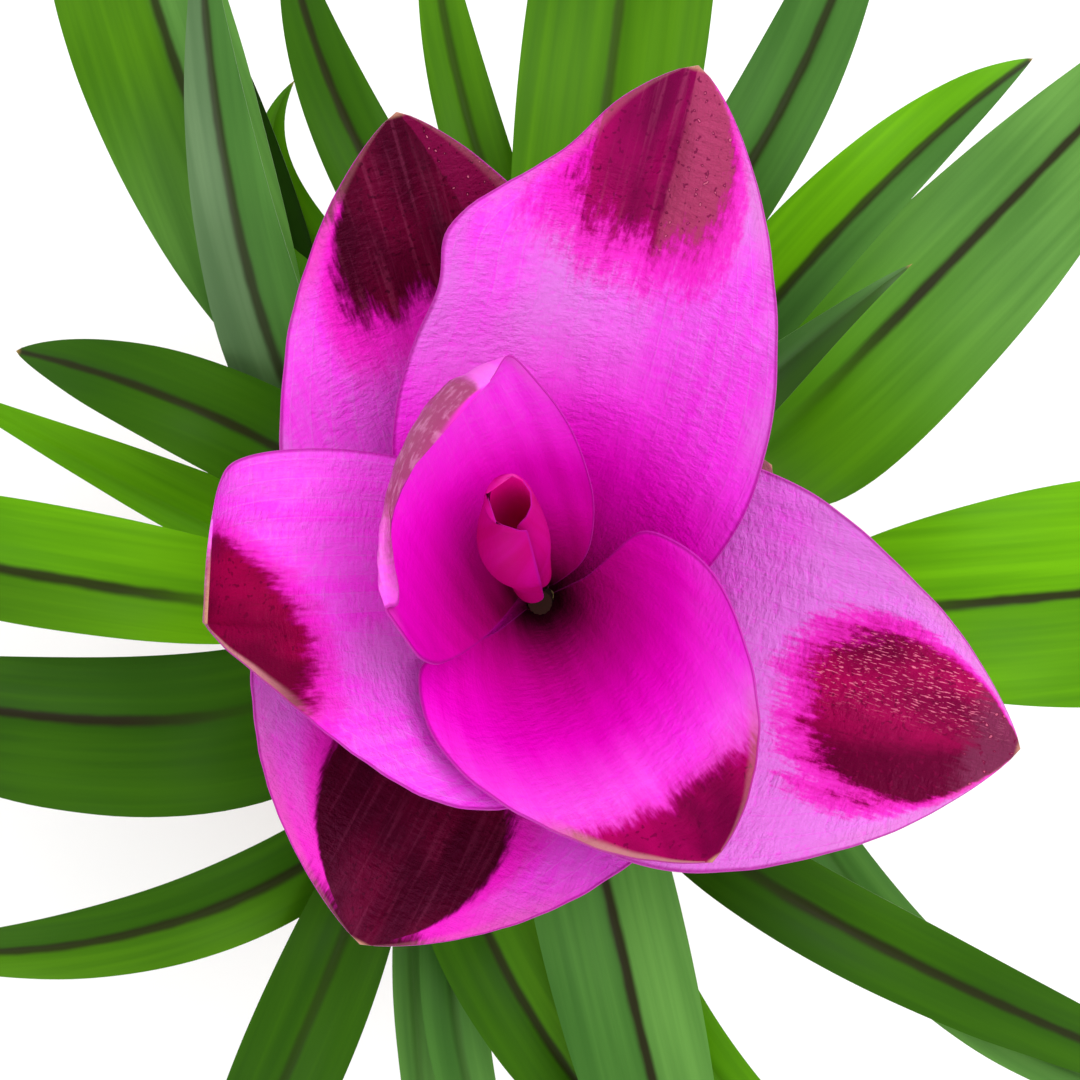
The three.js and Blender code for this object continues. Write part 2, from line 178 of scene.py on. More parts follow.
class Graph(NodeWork):
    """Short calls that build the node tree of one material."""

    def __init__(self, name: str) -> None:
        """Starts an empty tree.

        Args:
            name: name of the material.
        """
        self.material = bpy.data.materials.new(name)
        self.material.use_nodes = True
        super().__init__(self.material.node_tree)
        self.tree.nodes.clear()

    def parts(self, attribute: str) -> tuple[Socket, ...]:
        """The three numbers of a mesh attribute, and the attribute as a vector."""
        source = self.add("ShaderNodeAttribute", attribute_name=attribute).outputs["Vector"]
        return (*self.split(source), source)

    def spot(self) -> Socket:
        """The place in the frame of the plant, in metres."""
        return self.add("ShaderNodeTexCoord").outputs["Object"]

    def times(self, a: object, b: object) -> Socket:
        """The product of a and b."""
        return self.math("MULTIPLY", a, b)

    def line(self, value: object, slope: object, start: object) -> Socket:
        """The sum of start and slope times value."""
        return self.math("MULTIPLY_ADD", value, slope, start)

    def rest(self, value: object) -> Socket:
        """What value leaves of 1."""
        return self.math("SUBTRACT", 1.0, value)

    def step(self, value: object, low: object, high: object) -> Socket:
        """A soft step of value from 0 at low to 1 at high."""
        inputs = {"Value": value, "From Min": low, "From Max": high}
        return self.add("ShaderNodeMapRange", inputs, interpolation_type="SMOOTHSTEP").outputs[0]

    def mix(self, share: object, a: object, b: object, blend: str = "MIX") -> Socket:
        """Colour a turned towards colour b by share."""
        inputs = {0: share, 6: a, 7: b}
        return self.add("ShaderNodeMix", inputs, data_type="RGBA", blend_type=blend).outputs[2]

    def tint(self, colour: object, other: object, share: object, most: object) -> Socket:
        """Colour turned towards other by share, of which a full one counts as most."""
        return self.mix(self.times(share, most), colour, other)

    def grain(
        self, place: Socket, stretch: Triple, detail: float = 2.0, rough: float = 0.5
    ) -> Socket:
        """Noise over place, whose axes are first multiplied by stretch."""
        scaled = self.vector("MULTIPLY", a=place, b=stretch).outputs[0]
        inputs = {"Vector": scaled, "Scale": 1.0, "Detail": detail, "Roughness": rough}
        return self.add("ShaderNodeTexNoise", inputs).outputs[0]

    def bump(self, height: object, depth: float, strength: float = 1.0) -> Socket:
        """A normal from a height of 0 to 1 that stands for depth metres."""
        inputs = {"Strength": strength, "Distance": depth, "Height": height}
        return self.add("ShaderNodeBump", inputs).outputs[0]

    def finish(
        self, colour: object, roughness: object, normal: object = None, **fixed: object
    ) -> bpy.types.Material:
        """Closes the tree with a shader.

        Args:
            colour: base colour.
            roughness: a number or a socket.
            normal: a socket, or None for the plain one.
            fixed: other sockets of the shader by name, with _ for a space, as plain numbers.

        Returns:
            The material.
        """
        inputs = {"Base Color": colour, "Roughness": roughness}
        if normal is not None:
            inputs["Normal"] = normal
        for key, value in fixed.items():
            inputs[key.replace("_", " ")] = value
        shader = self.add("ShaderNodeBsdfPrincipled", inputs)
        self.add("ShaderNodeOutputMaterial", {"Surface": shader.outputs[0]})
        return self.material


class Growth(NodeWork):
    """Short calls that build one Geometry Nodes tree with named inputs."""

    def __init__(self, name: str) -> None:
        """Starts a tree that ends in one geometry.

        Args:
            name: name of the tree.
        """
        super().__init__(bpy.data.node_groups.new(name, "GeometryNodeTree"))
        for way in ("INPUT", "OUTPUT"):
            self.tree.interface.new_socket(
                "Geometry", in_out=way, socket_type="NodeSocketGeometry"
            )
        self.inputs = self.tree.nodes.new("NodeGroupInput")

    def input(self, name: str, kind: str) -> Socket:
        """Adds a named input and returns its socket inside the tree."""
        self.tree.interface.new_socket(name, in_out="INPUT", socket_type=f"NodeSocket{kind}")
        return self.inputs.outputs[name]

    def close(self, geometry: Socket, material: Socket) -> bpy.types.NodeTree:
        """Ends the tree: realized, with its material.

        Args:
            geometry: what the tree has made.
            material: the input that holds the material.

        Returns:
            The tree.
        """
        real = self.add("GeometryNodeRealizeInstances", {0: geometry}).outputs[0]
        done = self.add("GeometryNodeSetMaterial", {0: real, "Material": material})
        self.link(done.outputs[0], self.tree.nodes.new("NodeGroupOutput").inputs[0])
        return self.tree


@dataclass
class Sheet:
    """A thin closed sheet over a grid of points, in millimetres.

    Attributes:
        points: rows of points across the sheet, one row after another along it.
        tip: the point on which the sheet closes.
        over: thickness on the side of the normals at each point.
        under: thickness on the other side.
        along: place of each row, from 0 to 1.
        side: place of each column, from -1 to 1.
        reach: distance of each point from the midline, measured across.
        length: length of the midline.
        relief: how far each point is moved along its normal.
    """

    points: np.ndarray
    tip: np.ndarray
    over: np.ndarray
    under: np.ndarray
    along: np.ndarray
    side: np.ndarray
    reach: np.ndarray
    length: float
    relief: np.ndarray

    TIP_HALF = 0.12
    PATTERN_STEP = 10.0

    def normals(self) -> np.ndarray:
        """The unit normal at each point."""
        rows, across, _ = self.points.shape
        longer = np.concatenate([self.points, np.broadcast_to(self.tip, (1, across, 3))])
        forward = np.gradient(longer, axis=0)[:rows]
        right = np.gradient(self.points, axis=1)
        normal = np.cross(right, forward)
        return normal / np.maximum(np.linalg.norm(normal, axis=2, keepdims=True), 1e-12)

    def faces(self) -> list[tuple[int, ...]]:
        """The faces over the vertices that build writes, pointing outwards."""
        rows, across, _ = self.points.shape
        count = rows * across

        def top(i: int, j: int) -> int:
            return i * across + j

        def low(i: int, j: int) -> int:
            return count + i * across + j

        top_tip, low_tip, last = 2 * count, 2 * count + 1, across - 1
        found = []
        for j in range(last):
            found.append((top(0, j), low(0, j), low(0, j + 1), top(0, j + 1)))
            found.append((top(rows - 1, j), top(rows - 1, j + 1), top_tip))
            found.append((low(rows - 1, j + 1), low(rows - 1, j), low_tip))
            for i in range(rows - 1):
                found.append((top(i, j), top(i, j + 1), top(i + 1, j + 1), top(i + 1, j)))
                found.append((low(i, j), low(i + 1, j), low(i + 1, j + 1), low(i, j + 1)))
        for i in range(rows - 1):
            found.append((top(i, 0), top(i + 1, 0), low(i + 1, 0), low(i, 0)))
            found.append((top(i, last), low(i, last), low(i + 1, last), top(i + 1, last)))
        found.append((top(rows - 1, 0), top_tip, low_tip, low(rows - 1, 0)))
        found.append((top(rows - 1, last), low(rows - 1, last), low_tip, top_tip))
        return found

    def build(self, name: str, seed: float) -> bpy.types.Object:
        """Makes the mesh object.

        Args:
            name: name of the object.
            seed: a number that the material's grain differs by.

        Returns:
            The object. Its attribute span holds the place across, the place along, and 1 on the
            side of the normals. Its attribute grain holds millimetres across and along.
        """
        rows, across, _ = self.points.shape
        count = rows * across
        normal = self.normals()
        middle = self.points + normal * self.relief[..., None]
        top = middle + normal * self.over[..., None]
        low = middle - normal * self.under[..., None]
        end = normal[-1, across // 2] * self.TIP_HALF
        ends = [self.tip + end, self.tip - end]
        points = np.concatenate([top.reshape(-1, 3), low.reshape(-1, 3), ends])
        mesh = mesh_of(name, points, self.faces())
        side, along = np.broadcast_arrays(self.side[None, :], self.along[:, None])
        pattern = seed * self.PATTERN_STEP
        ends_far = [[0, self.length, pattern]] * 2
        layers = (
            ("span", side, along, np.repeat([1.0, 0.0], count), [[0, 1, 1], [0, 1, 0]]),
            ("grain", self.reach, along * self.length, np.full(2 * count, pattern), ends_far),
        )
        for title, first, second, third, at_tip in layers:
            both = [np.tile(np.ravel(values), 2) for values in (first, second)]
            values = np.vstack([np.column_stack([*both, third]), at_tip])
            layer = mesh.attributes.new(title, "FLOAT_VECTOR", "POINT")
            layer.data.foreach_set("vector", values.astype(np.float32).ravel())
        return shown(name, mesh)


def placed(name: str, data: bpy.types.ID) -> bpy.types.Object:
    """Puts an object that shows data in the scene."""
    made = bpy.data.objects.new(name, data)
    bpy.context.scene.collection.objects.link(made)
    return made


def mesh_of(name: str, points: np.ndarray, faces: list[tuple[int, ...]]) -> bpy.types.Mesh:
    """A mesh over points in millimetres."""
    mesh = bpy.data.meshes.new(name)
    mesh.from_pydata((points * MM).tolist(), [], faces)
    return mesh


def shown(name: str, mesh: bpy.types.Mesh, sharp: float = 50.0) -> bpy.types.Object:
    """Puts a mesh in the scene, smooth but for its sharp edges.

    Args:
        name: name of the object.
        mesh: its mesh.
        sharp: angle in degrees from which an edge is sharp.

    Returns:
        The object.
    """
    mesh.validate()
    mesh.shade_smooth()
    mesh.set_sharp_from_angle(angle=math.radians(sharp))
    return placed(name, mesh)


def dress(piece: bpy.types.Object, material: bpy.types.Material, slot: str, *nodes: str) -> None:
    """Gives a piece its finish and its place in the frame.

    Args:
        piece: the object.
        material: its only material.
        slot: material slot of the record; not used.
        nodes: the solids that it stands for.
    """
    piece.data.materials.clear()
    piece.data.materials.append(material)
    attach(piece, BODY)
    if nodes:
        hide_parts(*nodes)
    LOG.info("%s: %d faces", piece.name, len(piece.data.polygons))


def settled(piece: bpy.types.Object) -> bpy.types.Object:
    """Turns a piece with modifiers into a plain mesh.

    Args:
        piece: the object, whose modifiers are removed.

    Returns:
        The same object.
    """
    bpy.context.view_layer.update()
    evaluated = piece.evaluated_get(bpy.context.evaluated_depsgraph_get())
    mesh = bpy.data.meshes.new_from_object(evaluated)
    piece.modifiers.clear()
    piece.data = mesh
    return piece


def grown(
    name: str, tree: bpy.types.NodeTree, values: dict, base: bpy.types.Mesh | None = None
) -> bpy.types.Object:
    """Runs a Geometry Nodes tree once and keeps its result as a plain mesh.

    Args:
        name: name of the new object.
        tree: the tree.
        values: values of its inputs by name.
        base: the mesh that it works on, or None for an empty one.

    Returns:
        The object, with no modifier.
    """
    piece = placed(name, base or bpy.data.meshes.new(name))
    modifier = piece.modifiers.new("grow", "NODES")
    modifier.node_group = tree
    for item in tree.interface.items_tree:
        if item.item_type == "SOCKET" and item.in_out == "INPUT" and item.name in values:
            modifier[item.identifier] = values[item.name]
    return settled(piece)


@dataclass(frozen=True)
class PetalFinish:
    """The colours of a pink bract: a throat with painted shade, a pale blade with painted sheen and
    a maroon patch at the tip.

    Attributes:
        start: place along the midline where the patch starts.
        centre: place across where the patch reaches furthest down.
        climb: how fast its edge climbs towards the cw and the ccw margin.
        full: place along from which it covers the whole width.
        feather: how softly it ends.
        fray: how far its streaks run out over the blade.
        fringe: strength of the hot pink round it.
        halo: how far that pink reaches, as a factor of feather.
        dark: colour of the patch.
        gloss: roughness of the patch.
        sheen: share of the blade that is painted with the pale lilac of a velvety sheen, a painted
            sheen.
        gleam: where the patch turns another colour: factors of the places across and along, and
            a limit. On coma_bract_5 it is a painted reflection of the sky; elsewhere a tone of the
            patch.
        gleam_colour: that colour, greyish pink by default.
        speckle: how finely its edge breaks up.
        glints: strength of the painted highlights on the patch, bright dashes on its wet ridges.
        lit: side that those painted highlights lie on, -1 for cw and 1 for ccw.
        streaks: strength of the long pale streaks on the patch.
        dim: side that is darker on the patch, -1 for cw and 1 for ccw.
        tan: how much of the cw and of the ccw margin near the tip has dried to tan.
        inside: strength of the patch on the inner face.
        depth: how far the throat's deep colour and its painted shade reach, as a factor.
        back: colour of the outer face.
        back_hot: how much hot pink streaks it.
        back_dark: colour of the patch on the outer face.
        point: colour of the very tip.
        foot: colour of the outer face where it leaves the stalk.
        crinkle: how strongly its surface is crinkled, as a factor.
        lined: how far the inner face is turned to crimson.
    """

    start: float = 0.65
    centre: float = 0.0
    climb: Pair = (0.3, 0.3)
    full: float = 1.5
    feather: float = 0.03
    fray: float = 0.16
    fringe: float = 0.85
    halo: float = 2.4
    dark: Colour = (0.26, 0.001, 0.05)
    gloss: float = 0.4
    sheen: float = 0.35
    gleam: Triple = (0.0, 0.0, -1.0)
    gleam_colour: Colour = (0.40, 0.06, 0.15)
    speckle: float = 0.1
    glints: float = 0.0
    lit: float = 0.0
    streaks: float = 0.0
    dim: float = 0.0
    tan: Pair = (0.2, 0.2)
    inside: float = 1.0
    depth: float = 1.0
    back: Colour = (0.70, 0.20, 0.58)
    back_hot: float = 0.6
    back_dark: Colour = (0.34, 0.05, 0.13)
    point: Colour = (0.45, 0.22, 0.14)
    foot: Colour = (0.35, 0.33, 0.12)
    crinkle: float = 1.0
    lined: float = 0.0

    LINING = (0.72, 0.0, 0.21)
    GLOW = (0.76, 0.001, 0.48)
    HOT = (0.90, 0.008, 0.78)
    PALE = (0.78, 0.095, 0.75)
    PAINTED_SHEEN = (0.68, 0.185, 0.69)
    EDGE = (0.34, 0.004, 0.24)
    TAN = (0.46, 0.20, 0.20)
    STREAK = (0.34, 0.05, 0.13)
    GLINT_HIGHLIGHT = (0.74, 0.17, 0.28)
    FADED = (0.50, 0.17, 0.32)
    VEINS = 17.0
    DRY_EDGE = (0.82, 0.93)
    DRY_TIP = (0.68, 0.84)
    MARGIN = (0.976, 0.996)
    POINT = (0.991, 0.999)
    SHADE = 0.4
    DARK_SIDE = 0.22
    BLUR = 0.35
    PLAIN_ROUGHNESS = 0.55
    CRINKLE_DEPTH = 0.55 * MM
    BLADE_FROM = 0.013
    BLADE_FULL = 0.027
    # The throat's colour by millimetres from the stalk: deep magenta, partly painted shade that
    # turns near black towards the stalk.
    THROAT_COLOUR_AND_SHADE = (
        (2.2, (0.05, 0.001, 0.012)),
        (3.6, (0.18, 0.000, 0.060)),
        (5.5, (0.36, 0.000, 0.16)),
        (8.0, (0.50, 0.000, 0.27)),
        (11.0, (0.62, 0.000, 0.40)),
        (15.0, (0.75, 0.001, 0.56)),
        (20.0, (0.88, 0.006, 0.74)),
    )
    REACH = 40.0

    def throat(self, g: Graph, streak: Socket) -> tuple[Socket, Socket]:
        """The colour by distance from the flower stalk: the throat's deep magenta, with painted
        shade that darkens it towards the stalk.

        Args:
            g: the material's tree.
            streak: a noise that frays the zones.

        Returns:
            The colour, and how far the pale blade has taken over.
        """
        flat = g.vector("MULTIPLY", a=g.spot(), b=(1.0, 1.0, 0.0)).outputs[0]
        out = g.vector("LENGTH", a=flat).outputs["Value"]
        frayed = g.line(streak, 0.004, g.math("SUBTRACT", out, 0.002))
        share = g.math("DIVIDE", frayed, self.depth * self.REACH * MM)
        ramp = g.add("ShaderNodeValToRGB", {0: share})
        stops = ramp.color_ramp.elements
        while len(stops) < len(self.THROAT_COLOUR_AND_SHADE):
            stops.new(1.0)
        for stop, (distance, colour) in zip(stops, self.THROAT_COLOUR_AND_SHADE):
            stop.position = distance / self.REACH
            stop.color = (*colour, 1.0)
        blade = g.step(frayed, self.BLADE_FROM * self.depth, self.BLADE_FULL * self.depth)
        return ramp.outputs[0], blade

    def patch(self, g: Graph, place: Socket, streak: Socket, flecks: Socket) -> tuple[Socket, ...]:
        """Where the maroon patch lies.

        Args:
            g: the material's tree.
            place: millimetres across and along.
            streak: a noise drawn out along the bract.
            flecks: a fine noise.

        Returns:
            The patch, its dark core, its hot pink fringe, and the place past its edge.
        """
        side, along, _, _ = g.parts("span")
        lean = g.math("SUBTRACT", side, self.centre)
        ahead, behind = g.math("MAXIMUM", lean, 0.0), g.math("MINIMUM", lean, 0.0)
        cw, ccw = self.climb
        rising = g.times(g.times(ahead, ahead), ccw)
        falling = g.times(g.times(behind, behind), cw)
        climbing = g.math("ADD", rising, falling)
        edge = g.math("MINIMUM", g.math("ADD", climbing, self.start), self.full)
        speckle = g.grain(place, (1.1, 0.7, 1.0), 4.0, 0.8)
        level = -0.5 * self.fray - 0.03
        ragged = g.line(streak, self.fray, g.line(flecks, 0.06, level))
        ragged = g.line(g.math("SUBTRACT", speckle, 0.5), self.speckle, ragged)
        above = g.math("SUBTRACT", along, g.math("ADD", edge, ragged))
        patch = g.step(above, -self.feather, self.feather)
        core = g.step(above, -self.feather * 0.2, self.feather * 1.4)
        return patch, core, g.step(above, -self.feather * self.halo, -self.feather * 0.8), above

    def blotch(self, g: Graph, place: Socket, flecks: Socket) -> Socket:
        """The colours of the maroon patch.

        Args:
            g: the material's tree.
            place: millimetres across and along.
            flecks: a fine noise.

        Returns:
            The colour.
        """
        side, along, _, _ = g.parts("span")
        shade = tuple(self.SHADE * c for c in self.dark)
        clouds = g.step(g.grain(place, (0.14, 0.05, 1.0), 2.0), 0.35, 0.65)
        colour = g.mix(clouds, self.dark, shade)
        dull = g.step(g.line(flecks, 0.1, g.times(side, self.dim)), 0.1, 0.4)
        colour = g.tint(colour, tuple(self.DARK_SIDE * c for c in self.dark), dull, 0.9)
        pale = g.step(g.grain(place, (1.4, 0.06, 1.0), 3.0), 0.5, 0.72)
        colour = g.tint(colour, self.STREAK, pale, self.streaks)
        # Painted highlights: bright dashes where the wet ridges of the patch catch the light, on
        # one side.
        glint = g.step(g.grain(place, (5.5, 0.9, 1.0), 2.0), 0.58, 0.64)
        glint = g.times(glint, g.step(g.times(side, self.lit), -0.12, 0.12))
        colour = g.tint(colour, self.GLINT_HIGHLIGHT, glint, self.glints)
        # The gleam zone: a painted reflection of the sky on coma_bract_5, a tone of the patch on
        # the others.
        across, lengthwise, limit = self.gleam
        lit = g.line(along, lengthwise, g.line(side, across, limit))
        lit = g.step(g.math("ADD", lit, g.line(flecks, 0.08, -0.04)), 0.0, 0.05)
        colour = g.tint(colour, self.gleam_colour, lit, 0.85)
        pits = g.grain(place, (1.5, 1.2, 1.0), 1.0)
        colour = g.tint(colour, shade, g.step(pits, 0.62, 0.67), 0.75)
        # Painted highlights: the bright spots of droplets in the gleam zone.
        bead_highlight = g.times(g.step(pits, 0.70, 0.73), g.times(lit, 0.6))
        return g.mix(bead_highlight, colour, self.GLINT_HIGHLIGHT)

    def outside(self, g: Graph, streak: Socket, cells: Socket, above: Socket) -> Socket:
        """The colour of the outer face.

        Args:
            g: the material's tree.
            streak: a noise drawn out along the bract.
            cells: the noise of its crinkles.
            above: the place past the edge of the patch.

        Returns:
            The colour.
        """
        along = g.parts("span")[1]
        below = g.tint(self.back, self.HOT, g.step(streak, 0.35, 0.7), self.back_hot)
        stain = g.tint(self.back_dark, self.FADED, g.step(cells, 0.48, 0.66), 0.7)
        below = g.tint(below, stain, g.step(above, -0.06, 0.12), 0.92)
        return g.mix(g.rest(g.step(along, 0.03, 0.2)), below, self.foot)

    def material(self, name: str) -> bpy.types.Material:
        """Builds the material.

        Args:
            name: name of the material.

        Returns:
            The material.
        """
        g = Graph(name)
        side, along, outer, _ = g.parts("span")
        place = g.parts("grain")[3]
        streak = g.grain(place, (0.5, 0.03, 1.0), 3.0, 0.6)
        flecks = g.grain(place, (2.4, 0.5, 1.0), 2.0)
        cells = g.grain(place, (0.6, 1.1, 1.0), 4.0, 0.6)
        broad = g.grain(place, (0.05, 0.04, 1.0), 1.0)
        patch, core, fringe, above = self.patch(g, place, streak, flecks)
        throat, blade = self.throat(g, streak)
        wave = g.math("SINE", g.times(side, self.VEINS * math.pi / 2))
        vein = g.rest(g.step(g.math("ABSOLUTE", wave), 0.0, 0.25))
        beside = g.math("ABSOLUTE", g.math("SUBTRACT", wave, 0.25))
        colour = g.tint(self.PALE, self.HOT, g.step(streak, 0.40, 0.66), 0.5)
        # Painted sheen: pale lilac laid over the blade in patches, on its crinkles and along its
        # veins.
        sheen_share = g.step(broad, 0.66 - 0.5 * self.sheen, 0.86 - 0.5 * self.sheen)
        colour = g.mix(sheen_share, colour, self.PAINTED_SHEEN)
        colour = g.tint(colour, self.PAINTED_SHEEN, g.step(cells, 0.52, 0.66), 0.32)
        colour = g.tint(colour, self.HOT, g.rest(g.step(cells, 0.34, 0.46)), 0.25)
        colour = g.tint(colour, self.HOT, g.rest(g.step(beside, 0.0, 0.2)), 0.16)
        colour = g.tint(colour, self.PAINTED_SHEEN, vein, 0.3)
        colour = g.mix(blade, throat, colour)
        colour = g.tint(colour, self.GLOW, fringe, self.fringe * self.inside)
        blur = self.BLUR
        between = tuple((1 - blur) * a + blur * b for a, b in zip(self.dark, self.GLOW))
        colour = g.tint(colour, between, patch, self.inside)
        colour = g.tint(colour, self.blotch(g, place, flecks), core, self.inside)
        cw_side = g.times(g.step(g.times(side, -1.0), *self.DRY_EDGE), self.tan[0])
        ccw_side = g.times(g.step(side, *self.DRY_EDGE), self.tan[1])
        dried = g.times(g.math("ADD", cw_side, ccw_side), g.step(along, *self.DRY_TIP))
        colour = g.mix(dried, colour, self.TAN)
        inner = g.mix(self.lined, colour, self.LINING)
        colour = g.mix(outer, inner, self.outside(g, streak, cells, above))
        margin = g.step(g.math("ABSOLUTE", side), *self.MARGIN)
        colour = g.tint(colour, self.EDGE, margin, 0.75)
        colour = g.mix(g.step(along, *self.POINT), colour, self.point)
        rows = g.step(g.grain(place, (0.12, 0.07, 1.0), 2.0), 0.38, 0.6)
        crinkled = g.times(cells, g.line(rows, 0.8, 0.35))
        height = g.line(flecks, 0.35, g.line(vein, 0.04, crinkled))
        return g.finish(
            colour,
            g.line(patch, self.gloss - self.PLAIN_ROUGHNESS, self.PLAIN_ROUGHNESS),
            g.bump(height, self.CRINKLE_DEPTH * self.crinkle, 0.8),
            Specular_IOR_Level=0.16,
            Specular_Tint=(1.0, 0.22, 0.62),
            Subsurface_Weight=0.08,
            Subsurface_Radius=(0.0016, 0.0004, 0.0012),
            Subsurface_Scale=1.0,
        )


@dataclass
class Bract:
    """A cupped bract that clasps the flower stalk, with the sizes of its solid in millimetres.

    Attributes:
        node: name of the solid that it stands for.
        heading: direction in degrees, seen from above.
        height: where it leaves the stalk.
        length: length along its midline.
        ccw: half width on the side of growing headings.
        cw: half width on the other side.
        start: elevation of its line at the stalk, in degrees.
        end: elevation at the tip.
        cup: radius of its hollow across.
        rise: powers of the outline's rise, cw and ccw.
        fall: powers of its fall.
        hood: how far the tip bends inward, in degrees.
        lean: sideways shift of the tip.
        cup_from: place along where the hollow starts to open.
        wrap: how far it may wrap round on each side, in degrees, cw and ccw.
        swell: how far the margins swing out before the tip and in again, cw and ccw.
        flat: how much shallower the hollow is on each side, cw and ccw, as a factor.
        bulge: how far the hollow swells below its mouth.
        spiral: how much its roll opens over half a turn, as a share of the hollow.
        ribs: height of the ridges over its veins.
        wave: height of the waves along its margins.
        keel: depth of the crease along its midline near the tip.
    """

    node: str
    heading: float
    height: float
    length: float
    ccw: float
    cw: float
    start: float
    end: float
    cup: float
    rise: Pair = (0.5, 0.5)
    fall: Pair = (0.8, 0.8)
    hood: float = 0.0
    lean: Pair = (0.0, 0.0)
    cup_from: float = 0.3
    wrap: Pair = (78.0, 78.0)
    swell: Pair = (0.0, 0.0)
    flat: Pair = (1.0, 1.0)
    bulge: float = 0.0
    spiral: float = 0.0
    ribs: float = 0.06
    wave: float = 0.45
    keel: float = 0.9
    thickness: float = 0.9
    rows: int = 96
    columns: int = 72

    GAP = 0.35
    CUP_FULL = 0.8
    HOOD_FROM = 0.78
    THIN_EDGE = 0.3
    EASE = 0.8
    RIB_SPACING = 3.3
    SWELL_POWER = 2.4
    CROWD = 1.3
    FIRST = 0.02
    LEAST = 0.15
    SWINGS = ((1.0, 0.07, 0.74), (-0.5, 0.05, 0.87))
    WAVE_SIZE = 11.0
    DENT_SIZE = 7.0
    DENT_DEPTH = 0.22
    DENT_SEED = 3.1
    CREASE_WIDTH = 0.16
    CREASED = (0.55, 0.9)
    FREE = (0.12, 0.4)
    TAPER = (0.86, 1.0)

    def elevation(self, along: np.ndarray) -> np.ndarray:
        """The angle of the midline over the level, in radians."""
        bend = self.hood * smooth(along, self.HOOD_FROM, 1.0)
        return np.radians(self.start + (self.end - self.start) * along + bend)

    def sheet(self, stalk_radius: float, seed: float) -> Sheet:
        """Lays the sheet out.

        Args:
            stalk_radius: radius of the stalk at the bract's foot.
            seed: which pattern its waves take.

        Returns:
            The sheet, in the frame of the whole plant.
        """
        along = np.arange(self.rows) / self.rows
        even = np.linspace(-1.0, 1.0, self.columns + 1)
        side = np.sin(even * self.CROWD) / math.sin(self.CROWD)
        step = self.length / self.rows
        middles = self.elevation((np.arange(self.rows) + 0.5) / self.rows)
        start = stalk_radius + self.GAP + self.thickness / 2
        radius = start + np.append(0, np.cumsum(np.cos(middles) * step))
        height = np.append(0, np.cumsum(np.sin(middles) * step))
        slope = np.radians(self.start + (self.end - self.start) * along)
        clasping = radius[:-1] / np.sin(slope)
        opening = smooth(along, self.cup_from, self.CUP_FULL)[:, None]
        full = self.cup * np.where(side > 0, self.flat[1], self.flat[0])[None, :]
        cup = clasping[:, None] * (1 - opening) + full * opening
        cup = cup + self.bulge * (np.sin(math.pi * along**self.SWELL_POWER) ** 2)[:, None]
        swing = sum(size * bell(along, width, at) for size, width, at in self.SWINGS)
        sides = zip(self.rise, self.fall, self.swell, (self.cw, self.ccw))
        left, right = (
            outline(np.maximum(along, self.FIRST), rise, fall) * width * (1 + swell * swing)
            for rise, fall, swell, width in sides
        )
        free = np.where(side[None, :] > 0, right[:, None], left[:, None])
        limit = np.radians(np.where(side[None, :] > 0, self.wrap[1], self.wrap[0])) * cup
        wide = -self.EASE * np.log(np.exp(-free / self.EASE) + np.exp(-limit / self.EASE))
        wide = np.maximum(wide, self.LEAST)
        turn = side * wide / cup
        roll = cup * (1 + self.spiral * turn / math.pi)
        inward = cup - roll * np.cos(turn)
        rising = self.elevation(along)[:, None]
        points = np.stack(
            [
                radius[:-1, None] - np.sin(rising) * inward,
                roll * np.sin(turn),
                height[:-1, None] + np.cos(rising) * inward,
            ],
            axis=2,
        )
        tip = np.array([radius[-1], 0.0, height[-1]])
        angle = math.radians(self.heading)
        cos, sin = math.cos(angle), math.sin(angle)
        turned = np.array([[cos, -sin, 0], [sin, cos, 0], [0, 0, 1]])
        lean = np.array([*self.lean, 0.0])
        up = np.array([0.0, 0.0, self.height])
        points = points @ turned.T + lean * along[:, None, None] + up
        tip = turned @ tip + lean + up
        edge = np.abs(side)[None, :]
        half = self.thickness / 2 * (1 - (1 - self.THIN_EDGE) * edge**3)
        half = half * (1 - 0.5 * along[:, None] ** 4)
        reach = side * wide
        grid = np.stack(np.broadcast_arrays(reach, along[:, None] * self.length), axis=2)
        free_part = smooth(along, *self.FREE)[:, None]
        waves = ripple(grid, seed, self.WAVE_SIZE) * edge**3 * self.wave
        dents = ripple(grid, seed + self.DENT_SEED, self.DENT_SIZE) * self.DENT_DEPTH
        crease = self.keel * bell(side[None, :], self.CREASE_WIDTH)
        crease = crease * smooth(along, *self.CREASED)[:, None]
        taper = 1 - smooth(along, *self.TAPER)[:, None]
        ribs = self.ribs * np.cos(2 * math.pi * reach / self.RIB_SPACING)
        relief = (waves + dents + ribs) * free_part * taper + crease * taper
        return Sheet(points, tip, half, half, along, side, reach, self.length, relief)


